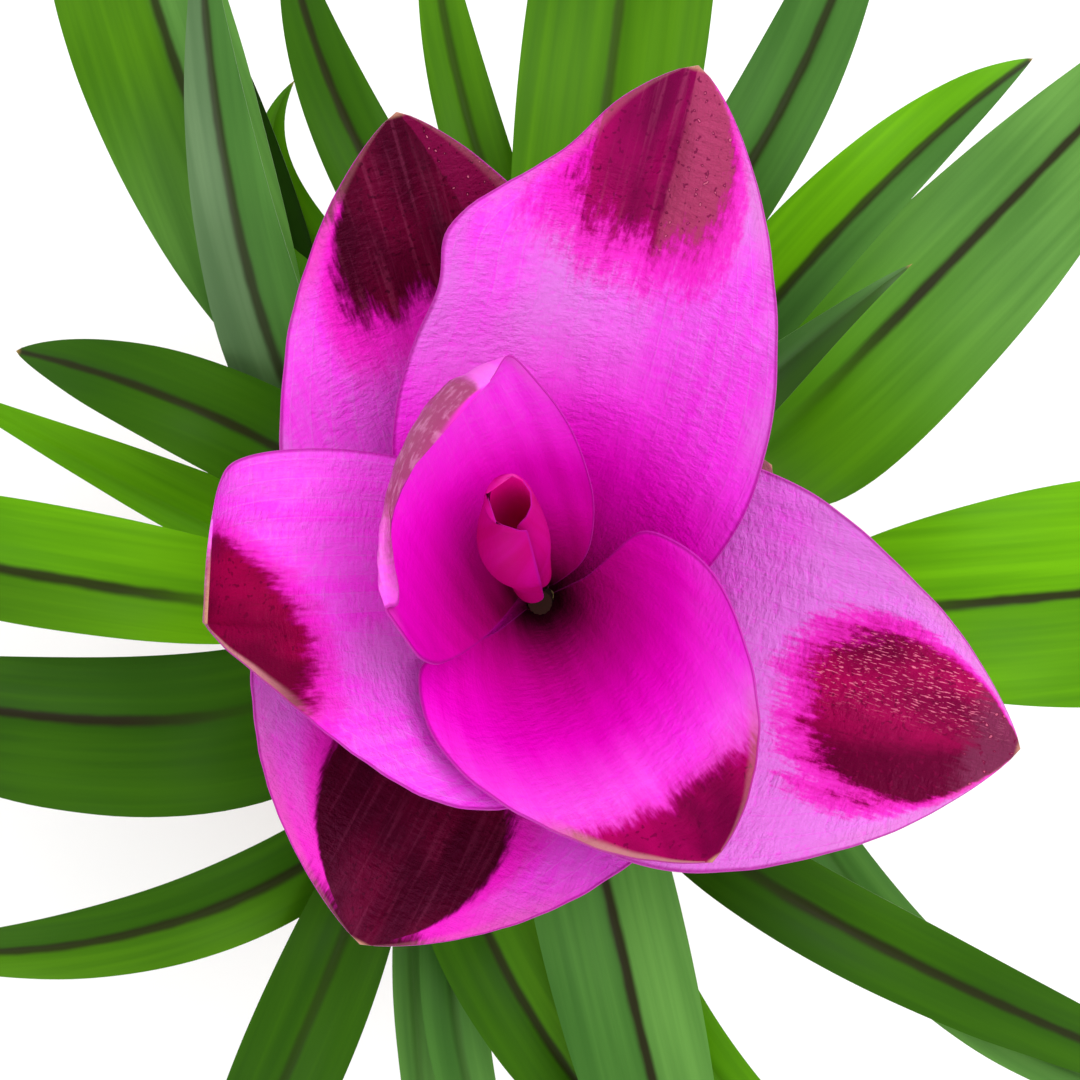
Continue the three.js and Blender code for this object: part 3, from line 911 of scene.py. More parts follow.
@dataclass
class FlowerHead:
    """The flower stalk with its bracts: green pouches below, the pink head above.

    Attributes:
        foot: height where the stalk stands.
        head_start: height of the foot of the head.
        end: height of the stalk's end.
        foot_radius: radius of the stalk at its foot.
        head_radius: radius at the foot of the head.
        end_radius: radius at its end.
        snug: how much wider its surface is at the end, which closes the gap to the bracts.
        pouches: number of green bracts.
        pouch_lowest: height of the lowest one.
        pouch_spacing: height from one to the next.
        pouch_heading: heading of the lowest one, in degrees.
        pouch_turn: turn from one to the next.
        pouch_length: length of the lowest one.
        pouch_growth: how much longer each one is than the one below.
        pouch_half_width: half the width of each one.
        bracts: the pink bracts and their finishes.
    """

    foot: float = 168.3
    head_start: float = 258.0
    end: float = 348.0
    foot_radius: float = 3.4
    head_radius: float = 3.0
    end_radius: float = 1.0
    snug: float = 0.55
    pouches: int = 8
    pouch_lowest: float = 264.0
    pouch_spacing: float = 6.2
    pouch_heading: float = 155.0
    pouch_turn: float = 135.0
    pouch_length: float = 31.0
    pouch_growth: float = 0.8
    pouch_half_width: float = 13.0
    bracts: list[tuple[Bract, PetalFinish]] = field(default_factory=list)

    SIDES = 84
    RINGS = 24
    RIBS = 14.0
    RIB_DEPTH = 0.03
    PAST_END = 0.8
    # Height in metres from which the stalk is painted nearly black: painted shade inside the flower
    # head.
    PAINTED_SHADE_FROM = 0.326
    POUCH_SEED = 20

    def __post_init__(self) -> None:
        """Lists the pink bracts, from the lowest to the innermost."""
        wine: Colour = (0.10, 0.0008, 0.018)
        crimson: Colour = (0.36, 0.002, 0.075)
        withered: Colour = (0.24, 0.05, 0.10)
        self.bracts = [
            (
                Bract("coma_bract_1", 30, 312, 42, 16, 16, 58, 10, 24),
                PetalFinish(start=0.6, dark=(0.38, 0.13, 0.16), back_dark=withered),
            ),
            (
                Bract("coma_bract_2", 242, 317, 61, 34, 41, 60, 25, 36, fall=(0.85, 0.85)),
                PetalFinish(
                    start=0.45, centre=-0.08, climb=(1.3, 0.85), full=0.93, dark=wine, sheen=0.6,
                    streaks=0.12, dim=-0.3, fray=0.05, speckle=0.03, halo=9.0,
                ),
            ),
            (
                Bract("coma_bract_3", 106, 322, 78, 29, 22, 58, 31, 40),
                PetalFinish(
                    start=0.70, centre=0.38, climb=(0.03, 0.8), full=0.88, dark=wine,
                    streaks=0.16, sheen=0.3, gleam=(-1.0, 0.0, -0.35),
                    gleam_colour=(0.16, 0.002, 0.04), fray=0.11, speckle=0.04, halo=4.5,
                ),
            ),
            (
                Bract("coma_bract_4", 344, 327, 72, 26, 30, 58, 23, 40, fall=(0.84, 0.84)),
                PetalFinish(
                    start=0.63, centre=-0.02, climb=(0.40, 0.42), dark=crimson, sheen=0.85,
                    glints=0.9, lit=1.0, gleam=(0.0, 1.0, -0.90),
                    gleam_colour=(0.17, 0.025, 0.07), gloss=0.3, dim=-1.0,
                ),
            ),
            (
                Bract(
                    "coma_bract_5", 74, 331, 81, 25, 22, 60, 28, 34,
                    fall=(0.76, 0.76), keel=1.6, swell=(0.0, 0.21),
                ),
                PetalFinish(
                    start=0.74, centre=-0.08, climb=(0.3, 0.14), fray=0.11,
                    dark=(0.31, 0.001, 0.09), sheen=0.55, gleam=(-1.0, 0.0, -0.04),
                    gleam_colour=(0.36, 0.045, 0.12), depth=1.4, streaks=0.3, halo=3.2,
                ),
            ),
            (
                Bract(
                    "coma_bract_6", 181, 335, 64, 40, 19, 64, 41, 30,
                    rise=(0.35, 0.5), fall=(0.2, 1.8), hood=60, flat=(2.4, 1.0),
                ),
                PetalFinish(
                    start=0.67, centre=0.3, climb=(0.3, 0.10), dark=(0.27, 0.0005, 0.045),
                    gloss=0.5, sheen=0.3, tan=(0.0, 0.95), depth=0.6, fray=0.07, fringe=0.6,
                    speckle=0.02,
                ),
            ),
            (
                Bract(
                    "coma_bract_7", 305, 339, 55, 22.5, 25.5, 68, 42, 24,
                    rise=(0.35, 0.5), fall=(0.95, 0.75), hood=22, cup_from=0.15, wrap=(92, 84),
                ),
                PetalFinish(
                    start=0.79, climb=(-0.03, 0.05), dark=(0.35, 0.0005, 0.09), gloss=0.5,
                    sheen=0.75, tan=(0.9, 0.35), depth=1.2, fray=0.08, fringe=0.4, speckle=0.02,
                    crinkle=0.6,
                ),
            ),
            (
                Bract(
                    "coma_bract_8", 130, 343, 55, 27.5, 11, 74, 44, 14,
                    rise=(0.5, 1.3), fall=(0.5, 0.45), hood=90, lean=(7.2, 6.3), keel=0.3,
                    cup_from=0.05, wrap=(85, 78), flat=(1.0, 1.38),
                ),
                PetalFinish(
                    start=0.79, centre=0.3, climb=(0.5, 0.2), inside=0.0, sheen=0.0, depth=1.2,
                    back=(0.80, 0.14, 0.68), back_hot=0.4, back_dark=(0.27, 0.04, 0.10),
                    point=(0.80, 0.02, 0.55), crinkle=0.3,
                ),
            ),
            (
                Bract(
                    "coma_bract_9", 85, 347, 36, 34, 24, 89, 89, 2.4,
                    rise=(3.0, 2.2), fall=(1.2, 0.9), lean=(-3.1, 12.5), cup_from=0.2,
                    keel=0.0, wave=0.1, wrap=(165, 215), bulge=1.3, spiral=0.25, ribs=0.0,
                ),
                # Its outer face is painted dark olive where it leaves the stalk: painted shade deep
                # in the head.
                PetalFinish(
                    start=1.2, sheen=0.0, depth=1.2, back=(0.42, 0.0, 0.14), back_hot=0.12,
                    point=(0.60, 0.02, 0.28), foot=(0.09, 0.04, 0.02), crinkle=0.1, lined=0.85,
                ),
            ),
        ]

    def radius(self, height: float) -> float:
        """The stalk's radius at a height, in millimetres."""
        heights = (self.foot - 0.3, self.head_start, self.end)
        radii = (self.foot_radius, self.head_radius, self.end_radius)
        return float(np.interp(height, heights, radii))

    def pouch(self, index: int) -> Bract:
        """The green bract of that number, counted from the lowest as 0."""
        width = self.pouch_half_width
        return Bract(
            f"fertile_bract_{index + 1}",
            self.pouch_heading + self.pouch_turn * index,
            self.pouch_lowest + self.pouch_spacing * index,
            self.pouch_length + self.pouch_growth * index,
            width,
            width,
            52,
            6,
            16,
            rise=(0.45, 0.45),
            fall=(0.7, 0.7),
            rows=56,
            columns=40,
            wave=0.3,
            keel=0.5,
        )

    def stalk_tree(self) -> bpy.types.NodeTree:
        """A tree that makes a ribbed, tapered stem along a straight line."""
        tree = Growth("stem")
        foot, neck, end = (tree.input(name, "Vector") for name in ("Foot", "Neck", "End"))
        radii = [tree.input(f"{name} Radius", "Float") for name in ("Foot", "Neck", "End")]
        ribs = tree.input("Ribs", "Float")
        material = tree.input("Material", "Material")
        circle = tree.add(
            "GeometryNodeCurvePrimitiveCircle", {"Resolution": self.SIDES, "Radius": 1.0}
        )
        joined = tree.add("GeometryNodeJoinGeometry")
        for start, stop, first, last in ((foot, neck, *radii[:2]), (neck, end, *radii[1:])):
            line = tree.add("GeometryNodeCurvePrimitiveLine", {"Start": start, "End": stop})
            inputs = {"Curve": line.outputs[0], "Count": self.RINGS}
            fine = tree.add("GeometryNodeResampleCurve", inputs)
            factor = tree.add("GeometryNodeSplineParameter").outputs[0]
            inputs = {"Value": factor, "To Min": first, "To Max": last}
            width = tree.add("ShaderNodeMapRange", inputs)
            inputs = {
                "Curve": fine.outputs[0],
                "Profile Curve": circle.outputs[0],
                "Scale": width.outputs[0],
                "Fill Caps": True,
            }
            shell = tree.add("GeometryNodeCurveToMesh", inputs)
            tree.link(shell.outputs[0], joined.inputs[0])
        x, y, _ = tree.split(tree.add("GeometryNodeInputPosition").outputs[0])
        turn = tree.math("ARCTAN2", y, x)
        groove = tree.math("COSINE", tree.math("MULTIPLY", turn, ribs))
        depth = tree.math("MULTIPLY_ADD", groove, -self.RIB_DEPTH, -self.RIB_DEPTH)
        flat = tree.add("ShaderNodeCombineXYZ", {0: x, 1: y}).outputs[0]
        shift = tree.vector("SCALE", a=flat, Scale=depth).outputs[0]
        inputs = {"Geometry": joined.outputs[0], "Offset": shift}
        ribbed = tree.add("GeometryNodeSetPosition", inputs)
        return tree.close(ribbed.outputs[0], material)

    def build_stalk(self) -> None:
        """Makes the flower stalk."""
        green = stem_finish(
            "flower_stalk_green", (0.30, 0.42, 0.10), (0.20, 0.30, 0.06), self.PAINTED_SHADE_FROM
        )
        values = {
            "Foot": (0.0, 0.0, self.foot * MM),
            "Neck": (0.0, 0.0, self.head_start * MM),
            "End": (0.0, 0.0, (self.end + self.PAST_END) * MM),
            "Foot Radius": self.foot_radius * MM,
            "Neck Radius": self.head_radius * MM,
            "End Radius": (self.end_radius + self.snug) * MM,
            "Ribs": self.RIBS,
            "Material": green,
        }
        dress(grown("scape_skin", self.stalk_tree(), values), green, "flower_stalk", "scape")

    def build(self) -> None:
        """Makes the stalk and every bract."""
        self.build_stalk()
        for number, (bract, finish) in enumerate(self.bracts, 1):
            self.build_bract(bract, number, finish.material(f"pink_petal_{number}"), "pink_bract")
        green = pouch_finish()
        for index in range(self.pouches):
            self.build_bract(self.pouch(index), self.POUCH_SEED + index, green, "green_bract")

    def build_bract(
        self, bract: Bract, seed: float, material: bpy.types.Material, slot: str
    ) -> None:
        """Makes one bract.

        Args:
            bract: the bract.
            seed: which pattern its waves and its grain take.
            material: its finish.
            slot: material slot of the record.
        """
        sheet = bract.sheet(self.radius(bract.height), seed)
        dress(sheet.build(f"{bract.node}_skin", seed), material, slot, bract.node)


class Tone(Enum):
    """The greens of the leaves, as linear colours, with painted light and shade in some of them."""

    SPRING = (0.105, 0.33, 0.0)
    GRASS = (0.075, 0.245, 0.0)
    MEADOW = (0.055, 0.175, 0.001)
    # DEEP, DUSK and SHADE are partly painted shade: the greens of leaves that lie under others.
    DEEP = (0.026, 0.098, 0.0)
    DUSK = (0.017, 0.062, 0.0)
    SHADE = (0.010, 0.040, 0.0)
    FERN = (0.050, 0.155, 0.022)
    # SAGE and MIST are partly a painted reflection: the grey that the sky lays on glossy leaves.
    SAGE = (0.090, 0.235, 0.040)
    MIST = (0.095, 0.180, 0.072)


@dataclass(frozen=True)
class LeafFinish:
    """The colours of a leaf.

    Attributes:
        left: green of the half on the left, seen along the leaf. Where the halves differ, that is
            painted light and shade: one half of the fold faces away from the light.
        right: green of the other half.
        foot: green near the stalk, where darker a painted shade under the flower head.
        rib: how dark the midrib is, from 0 to 1.
        shine: strength of its gloss.
        rib_width: width of the dark along the midrib, in millimetres.
    """

    left: Tone
    right: Tone
    foot: Tone
    rib: float = 0.85
    shine: float = 0.08
    rib_width: float = 1.3

    RIB = (0.016, 0.011, 0.004)
    STALK = (0.20, 0.34, 0.06)
    PALE = (0.22, 0.36, 0.13)
    WITHERED = (0.3, 0.2, 0.05)

    def material(self, name: str) -> bpy.types.Material:
        """Builds the material.

        Args:
            name: name of the material.

        Returns:
            The material.
        """
        g = Graph(name)
        side, along, upper, _ = g.parts("span")
        across, _, _, place = g.parts("grain")
        streak = g.grain(place, (0.45, 0.016, 1.0), 2.0)
        veins = g.grain(place, (1.8, 0.03, 1.0), 1.0)
        broad = g.grain(place, (0.05, 0.025, 1.0), 1.0)
        # Painted light and shade: the halves of the fold and the foot take their own tones.
        colour = g.mix(g.step(side, -0.12, 0.12), self.left.value, self.right.value)
        colour = g.mix(g.rest(g.step(along, 0.36, 0.60)), colour, self.foot.value)
        light = g.line(streak, 0.5, g.times(broad, 0.5))
        darker = g.mix(1.0, colour, (0.70, 0.76, 0.7), "MULTIPLY")
        lighter = g.mix(1.0, colour, (1.22, 1.15, 1.2), "MULTIPLY")
        colour = g.mix(g.step(light, 0.32, 0.68), darker, lighter)
        colour = g.tint(colour, darker, g.step(veins, 0.45, 0.7), 0.16)
        distance = g.math("ABSOLUTE", across)
        near = g.rest(g.step(distance, 0.0, 5.0))
        colour = g.tint(colour, darker, near, 0.35)
        tapering = g.line(along, -0.75, 1.15)
        reach = g.math("DIVIDE", distance, g.times(tapering, self.rib_width))
        wander = g.line(g.grain(place, (0.3, 0.12, 1.0)), 0.7, -0.35)
        rib = g.rest(g.step(g.math("ADD", reach, wander), 0.4, 1.6))
        on_blade = g.step(along, 0.32, 0.5)
        rib = g.times(g.times(rib, on_blade), self.rib)
        stem = g.rest(g.step(along, 0.16, 0.34))
        colour = g.mix(stem, colour, self.STALK)
        below = g.mix(0.35, colour, self.PALE)
        rib_below = g.rest(g.step(distance, 0.5, 1.4))
        below = g.tint(below, self.PALE, rib_below, 0.7)
        colour = g.mix(rib, colour, self.RIB)
        colour = g.mix(upper, below, colour)
        colour = g.mix(g.step(along, 0.985, 1.0), colour, self.WITHERED)
        height = g.line(veins, 0.25, g.times(streak, 0.75))
        rough = g.line(streak, 0.2, 0.42)
        relief = g.bump(height, 0.12 * MM, 0.35)
        return g.finish(colour, rough, relief, Specular_IOR_Level=self.shine)


@dataclass
class Leaf:
    """A leaf on its stalk, with the sizes of its solid in millimetres.

    Attributes:
        shoot: the shoot that it stands in.
        foot: side of the shoot's mouth, as a heading in degrees.
        via: a point that its midline passes.
        tip: its point.
        width: width of the blade at its widest.
        finish: its colours.
        rise: power of the outline's rise.
        fall: power of its fall.
        left: share of the width on the left half, seen along the leaf.
        right: share on the right half.
        lean: sideways shift of the rising stalk.
        lift: how far the stalk rises before it bends.
        bare: length of the stalk.
        via_at: where on its curve the point via lies.
    """

    shoot: str
    foot: float
    via: Triple
    tip: Triple
    width: float
    finish: LeafFinish
    rise: float = 0.65
    fall: float = 1.0
    left: float = 1.0
    right: float = 1.0
    lean: Pair = (0.0, 0.0)
    lift: float = 98.0
    bare: float = 60.0
    via_at: float = 0.6

    STALK_WIDTH = 4.0
    STALK_THICKNESS = 2.2
    BLADE_THICKNESS = 0.8
    RIB_THICKNESS = 1.2
    FOLD = 0.32
    FOLD_SHARE = 0.6
    FLATTEN = 0.16
    ROWS = 84
    COLUMNS = 26
    WAVE = 0.9
    WAVE_SIZE = 16.0
    OVER = 0.34
    UNDER = 0.28
    RIB_WIDTH = 1.6
    GROOVE = 0.33
    PLEAT = 0.07
    PLEATS = 1.25
    CREASE = 0.35
    CREASE_WIDTH = 1.2
    OPENING = 0.2
    NARROW = (0.5, 0.8)
    CLOSING = (0.85, 1.0)
    TICKS = 401

    def sheet(self, foot: np.ndarray, seed: float) -> Sheet:
        """Lays the sheet out.

        Args:
            foot: the point where the stalk stands.
            seed: which pattern its waves take.

        Returns:
            The sheet.
        """
        via, tip = np.array(self.via) - foot, np.array(self.tip) - foot
        riser = np.array([*self.lean, self.lift])
        q = self.via_at
        reach = (via - 3 * (1 - q) ** 2 * q * riser - q**3 * tip) / (3 * (1 - q) * q * q)

        def line(t: np.ndarray) -> np.ndarray:
            t = t[:, None]
            return 3 * (1 - t) ** 2 * t * riser + 3 * (1 - t) * t**2 * reach + t**3 * tip

        ticks = np.linspace(0, 1, self.TICKS)
        steps = np.linalg.norm(np.diff(line(ticks), axis=0), axis=1)
        travelled = np.append(0, np.cumsum(steps))
        length = travelled[-1]
        along = np.arange(self.ROWS) / self.ROWS
        bend = np.interp(along * length, travelled, ticks)
        point = line(bend)
        forward = line(np.minimum(bend + 1e-3, 1)) - line(np.maximum(bend - 1e-3, 0))
        forward /= np.linalg.norm(forward, axis=1, keepdims=True)
        heading = 2 * (1 - bend)[:, None] * (reach - riser) + bend[:, None] * (tip - reach)
        heading[:, 2] = 0
        right = np.cross(heading, [0.0, 0.0, 1.0])
        right -= forward * (right * forward).sum(axis=1, keepdims=True)
        right /= np.linalg.norm(right, axis=1, keepdims=True)
        up = np.cross(right, forward)
        blade_from = self.bare / length
        blade_full = blade_from + self.OPENING
        share = np.maximum((along - blade_from) / (1 - blade_from), 0)
        blade = outline(share, self.rise, self.fall) * self.width
        stalk = self.STALK_WIDTH * (1 - smooth(along, *self.NARROW))
        half = np.maximum(blade, stalk)[:, None] / 2
        side = np.linspace(-1, 1, self.COLUMNS + 1)[None, :]
        wide = half * np.where(side > 0, self.right, self.left)
        lifted = wide * (self.FOLD * np.abs(side) - self.FLATTEN * side**2)
        spread = wide * side * math.cos(self.FOLD * self.FOLD_SHARE)
        points = foot + point[:, None] + right[:, None] * spread[..., None]
        points = points + up[:, None] * lifted[..., None]
        fading = smooth(along, blade_from * 0.6, blade_full)[:, None]
        ridge = (self.STALK_THICKNESS - self.BLADE_THICKNESS) * (1 - fading)
        rib = (self.RIB_THICKNESS - self.BLADE_THICKNESS) * (1 - along)[:, None]
        rounded = np.sqrt(np.maximum(1 - side**2, 0))
        raised = np.maximum(ridge * rounded, rib * bell(wide * side, self.RIB_WIDTH))
        under = self.UNDER * self.BLADE_THICKNESS + raised
        groove = self.GROOVE * (1 - fading) * (1 - side**2) ** 2
        over = self.OVER * self.BLADE_THICKNESS - groove
        grid = np.stack(np.broadcast_arrays(spread, along[:, None] * length), axis=2)
        opened = smooth(along, blade_from, blade_full) * (1 - smooth(along, *self.CLOSING))
        waves = ripple(grid, seed, self.WAVE_SIZE) * side**2 * self.WAVE
        pleats = self.PLEAT * np.cos(spread * self.PLEATS)
        crease = self.CREASE * bell(spread, self.CREASE_WIDTH)
        relief = (waves + pleats - crease) * opened[:, None]
        end = np.array(self.tip, float)
        return Sheet(points, end, over, under, along, side[0], spread, length, relief)


@dataclass
class Shoot:
    """A roll of leaf sheaths that carries leaves, in millimetres.

    Attributes:
        at: its place on the soil.
        radius: its outer radius.
    """

    at: Pair
    radius: float

    MOUTH = 176.0
    FOOT = 82.0
    SOIL_TOP = 108.0
    MOUTH_DEPTH = 8.0
    MOUTH_WALL = 1.6
    NECK = 0.94
    WAIST = 0.86
    STEP = 0.7
    ROOT = 0.7
    LIP = 0.25
    SIDES = 72
    RINGS = 110
    TURN = 1.7
    SHEATHS = ((19.0, 9.0), (44.0, 12.0))
    SHEATH_TURN = 2.4
    SHEATH_STEP = 0.42
    SOFT = 0.7
    SPIRAL = 0.012
    MARGIN = 2.2
    MARGIN_WIDTH = 0.05
    MARGIN_DEPTH = 0.28
    RIBS = 30
    RIB_DEPTH = 0.042
    SWELL = 0.35
    INSET = 0.06
    DIP = 1.6
    DIP_REACH = 14.0

    def outer(self, height: np.ndarray, angle: np.ndarray, seed: float) -> np.ndarray:
        """The radius of the roll, with the oblique ends and free margins of its sheaths.

        Args:
            height: heights on the shoot.
            angle: angles round it.
            seed: where its sheaths open.

        Returns:
            Radii.
        """
        neck, waist = self.radius * self.NECK, self.radius * self.WAIST
        profile = (
            (self.FOOT, self.radius * self.ROOT),
            (self.SOIL_TOP - 6, self.radius),
            (self.SOIL_TOP + 16, neck),
            (self.SOIL_TOP + 38, waist),
            (self.MOUTH - 14, waist + self.STEP),
            (self.MOUTH, self.radius - self.LIP),
        )
        plain = np.interp(height, *zip(*profile))
        steps = 0.0
        for order, (end, tilt) in enumerate(self.SHEATHS):
            end += self.SOIL_TOP
            turned = angle - seed * self.TURN - order * self.SHEATH_TURN
            edge = end + tilt * np.cos(turned)
            steps = steps - self.SHEATH_STEP * smooth(height, edge - self.SOFT, edge + self.SOFT)
            climbing = turned + math.pi + (height - end) * self.SPIRAL
            margin = np.abs(np.mod(climbing, 2 * math.pi) - math.pi)
            closed = 1 - smooth(height, edge - 1, edge + 1)
            line = bell(margin, self.MARGIN_WIDTH, self.MARGIN)
            steps = steps - self.MARGIN_DEPTH * line * closed
        clear = self.SOIL_TOP + 6
        ribs = self.RIB_DEPTH * np.cos(angle * self.RIBS) * smooth(height, clear - 10, clear)
        above = smooth(height, clear - 8, clear) * (1 - smooth(height, self.MOUTH - 6, self.MOUTH))
        return plain + self.SWELL * above + steps * above + ribs - self.INSET

    def build(self, node: str, material: bpy.types.Material, seed: float) -> None:
        """Makes the shoot.

        Args:
            node: the solid that it stands for.
            material: its finish.
            seed: where its sheaths open.
        """
        showing = np.linspace(self.SOIL_TOP - 6, self.MOUTH, self.RINGS)
        angle = np.linspace(0, 2 * math.pi, self.SIDES, endpoint=False)
        rings = [
            (self.outer(np.full_like(angle, z), angle, seed), z) for z in (self.FOOT, *showing)
        ]
        floor = self.MOUTH - self.MOUTH_DEPTH
        lip, hollow = self.radius - self.LIP, self.radius - self.MOUTH_WALL
        for radius, z in (
            (lip - 0.35, self.MOUTH),
            (lip - 1.0, self.MOUTH - 1.0),
            (hollow, floor + 0.6),
            (hollow - 0.6, floor),
        ):
            rings.append((np.full_like(angle, radius), z))
        dips = self.DIP * (1 - np.cos(angle - seed * self.TURN)) / 2
        vertices = []
        for radius, z in rings:
            drop = dips * float(smooth(z, self.MOUTH - self.DIP_REACH, self.MOUTH))
            across, deep = radius * np.cos(angle), radius * np.sin(angle)
            vertices.append(np.column_stack([across, deep, np.full_like(angle, z) - drop]))
        points = np.concatenate([*vertices, [[0, 0, self.FOOT], [0, 0, floor]]])
        points[:, :2] += self.at
        mesh = mesh_of(f"{node}_skin", points, ring_faces(len(rings), self.SIDES))
        dress(shown(f"{node}_skin", mesh, 40.0), material, "sheath", node)


def ring_faces(rings: int, sides: int) -> list[tuple[int, ...]]:
    """Faces of a turned body whose two end points follow its rings.

    Args:
        rings: number of rings, from the bottom outside to the inside.
        sides: points of a ring, in growing angle.

    Returns:
        Faces that point outwards.
    """
    start, end = rings * sides, rings * sides + 1
    found = []
    for k in range(sides):
        after = (k + 1) % sides
        found.append((start, after, k))
        found.append((end, (rings - 1) * sides + k, (rings - 1) * sides + after))
        for i in range(rings - 1):
            low, high = i * sides, (i + 1) * sides
            found.append((low + k, low + after, high + after, high + k))
    return found


@dataclass
class Foliage:
    """The shoots and their leaves, in millimetres.

    Attributes:
        shoots: the shoots by name.
        leaves: the leaves by letter.
        rim_gap: how far inside a shoot's wall a leaf stands.
        clearance: what it stands further out than that.
        foot_gap: how far it stands over the floor of the shoot's mouth.
    """

    shoots: dict[str, Shoot] = field(default_factory=dict)
    leaves: dict[str, Leaf] = field(default_factory=dict)
    rim_gap: float = 3.75
    clearance: float = 0.3
    foot_gap: float = 0.45

    def __post_init__(self) -> None:
        """Lists the shoots and the leaves."""
        self.shoots = {
            "centre": Shoot((0, 0), 10.2),
            "left": Shoot((-35, -10), 8.6),
            "lower_left": Shoot((-24, -40), 9.6),
            "lower_right": Shoot((14, -40), 8.2),
            "right": Shoot((37, -8), 8.0),
            "top": Shoot((2, 36), 9.2),
            "upper_left": Shoot((-38, 22), 9.2),
            "upper_right": Shoot((32, 26), 8.4),
        }
        spring, grass, meadow, deep = Tone.SPRING, Tone.GRASS, Tone.MEADOW, Tone.DEEP
        dusk, shade, fern, sage, mist = Tone.DUSK, Tone.SHADE, Tone.FERN, Tone.SAGE, Tone.MIST
        f = LeafFinish
        self.leaves = {
            "a": Leaf(
                "upper_left", 120, (-62, 82, 260), (-98, 176, 205), 36, f(meadow, sage, sage),
                rise=1, right=0.74, lean=(-4, 0),
            ),
            "b": Leaf(
                "upper_left", 190, (-50, 54, 277), (-61, 126, 266), 17,
                f(mist, fern, deep, 0.8, 0.15), rise=0.5, fall=1.25,
            ),
            "c": Leaf(
                "upper_left", 50, (-51, 70, 247), (-73, 130, 230), 12, f(meadow, shade, deep),
                bare=75, lean=(2, 0),
            ),
            "d": Leaf(
                "top", 140, (-27, 68, 271), (-47.5, 125, 254), 16, f(deep, deep, deep),
                rise=0.5, lean=(-3, 0),
            ),
            "e": Leaf(
                "top", 80, (-10, 74, 264), (-21, 136, 245), 12, f(meadow, meadow, fern, 0.6),
                lean=(5, 0),
            ),
            "f": Leaf(
                "centre", 80, (11, 80, 277), (25, 182, 225), 32, f(meadow, meadow, meadow, 0.6),
                rise=1,
            ),
            "g": Leaf(
                "top", 20, (38, 76, 266), (71, 162, 225), 19, f(fern, fern, deep),
                fall=1.2, right=0.85,
            ),
            "h": Leaf(
                "upper_right", 95, (50, 60, 283), (87, 93, 269), 18, f(spring, fern, deep),
                rise=0.5, left=1.15, right=0.7, lean=(-6, 5), lift=108, bare=74,
            ),
            "i": Leaf(
                "upper_right", 330, (62, 46, 266), (148, 130, 222), 31,
                f(sage, sage, grass, 0.95),
                rise=0.3, left=0.92, right=1.2, lean=(6, -6), lift=86,
            ),
            "j": Leaf(
                "upper_right", 190, (50, 45, 293), (60, 52.5, 294), 12,
                f(fern, deep, fern, 0.2, 0.3), rise=0.4, via_at=0.75, lift=106,
            ),
            "k": Leaf(
                "right", 0, (83, -3, 262), (178, 2, 203), 43, f(spring, grass, spring, 0.95),
                rise=1,
            ),
            "l": Leaf(
                "upper_left", 260, (-56, 29, 268), (-97, 43, 255), 20, f(deep, deep, shade),
                rise=0.45, fall=0.85,
            ),
            "m": Leaf(
                "left", 60, (-68, 14, 253), (-125, 42, 237), 17, f(spring, spring, spring, 0.0),
                rise=0.3, fall=1.4, left=0.6, right=1.2, lean=(1, 4),
            ),
            "n": Leaf(
                "left", 125, (-77, 0, 271), (-180, 16, 217), 26, f(meadow, spring, spring, 0.9),
                left=0.7, bare=66,
            ),
            "o": Leaf(
                "left", 190, (-72, -25, 259), (-180, -16, 198), 32, f(deep, deep, deep, 0.95),
                rise=0.4, left=1.1, right=0.76, bare=50, lean=(2, -10),
            ),
            "p": Leaf(
                "lower_left", 165, (-62, -60, 261), (-132, -71, 240), 16, f(meadow, deep, deep),
                rise=0.4, lean=(2, -6),
            ),
            "q": Leaf(
                "lower_left", 225, (-38, -70, 262), (-74, -148, 222), 20,
                f(deep, deep, dusk, 0.5), rise=0.8, lean=(-3, 0),
            ),
            "r": Leaf(
                "lower_left", 285, (-24, -72, 249), (-20, -140, 222), 8,
                f(sage, sage, sage, 0.2), lean=(-1, 0),
            ),
            "s": Leaf(
                "lower_left", 348, (-16, -76, 256), (-2, -130, 228), 12,
                f(sage, fern, fern, 0.3), lean=(7, 0),
            ),
            "t": Leaf(
                "lower_left", 45, (-8, -65, 266), (26, -118, 246), 20, f(meadow, deep, shade)
            ),
            "u": Leaf(
                "centre", 280, (15, -67, 273), (36, -150, 215), 24, f(sage, fern, fern, 0.95),
                fall=1.2, right=1.15,
            ),
            "v": Leaf(
                "lower_right", 10, (51, -59, 268), (150, -110, 222), 16, f(deep, deep, dusk),
                rise=0.5,
            ),
            "w": Leaf(
                "right", 250, (66, -66, 256), (150, -112, 212), 13, f(sage, sage, fern, 0.2),
                rise=0.5,
            ),
            "x": Leaf(
                "lower_right", 260, (28, -86, 248), (80, -134, 214), 13,
                f(grass, grass, meadow, 0.2),
            ),
            "y": Leaf(
                "top", 200, (-42, 62, 246), (-48, 98, 238), 12, f(grass, grass, meadow, 0.2),
                lean=(-7, -3),
            ),
        }

    def foot(self, leaf: Leaf) -> np.ndarray:
        """The point where a leaf's stalk stands in its shoot's mouth."""
        shoot = self.shoots[leaf.shoot]
        ring = shoot.radius - Shoot.MOUTH_WALL - self.rim_gap + self.clearance
        turn = math.radians(leaf.foot)
        level = Shoot.MOUTH - Shoot.MOUTH_DEPTH + self.foot_gap
        x, y = shoot.at
        return np.array([x + ring * math.cos(turn), y + ring * math.sin(turn), level])

    def build(self) -> None:
        """Makes every shoot and leaf."""
        sheath = sheath_finish()
        for number, (name, shoot) in enumerate(self.shoots.items()):
            shoot.build(f"shoot_{name}", sheath, number)
        made: dict[LeafFinish, bpy.types.Material] = {}
        for number, (letter, leaf) in enumerate(self.leaves.items()):
            node = f"leaf_{letter}"
            if leaf.finish not in made:
                made[leaf.finish] = leaf.finish.material(f"leaf_green_{len(made) + 1}")
            piece = leaf.sheet(self.foot(leaf), number).build(f"{node}_skin", number)
            dress(piece, made[leaf.finish], "leaf", node)


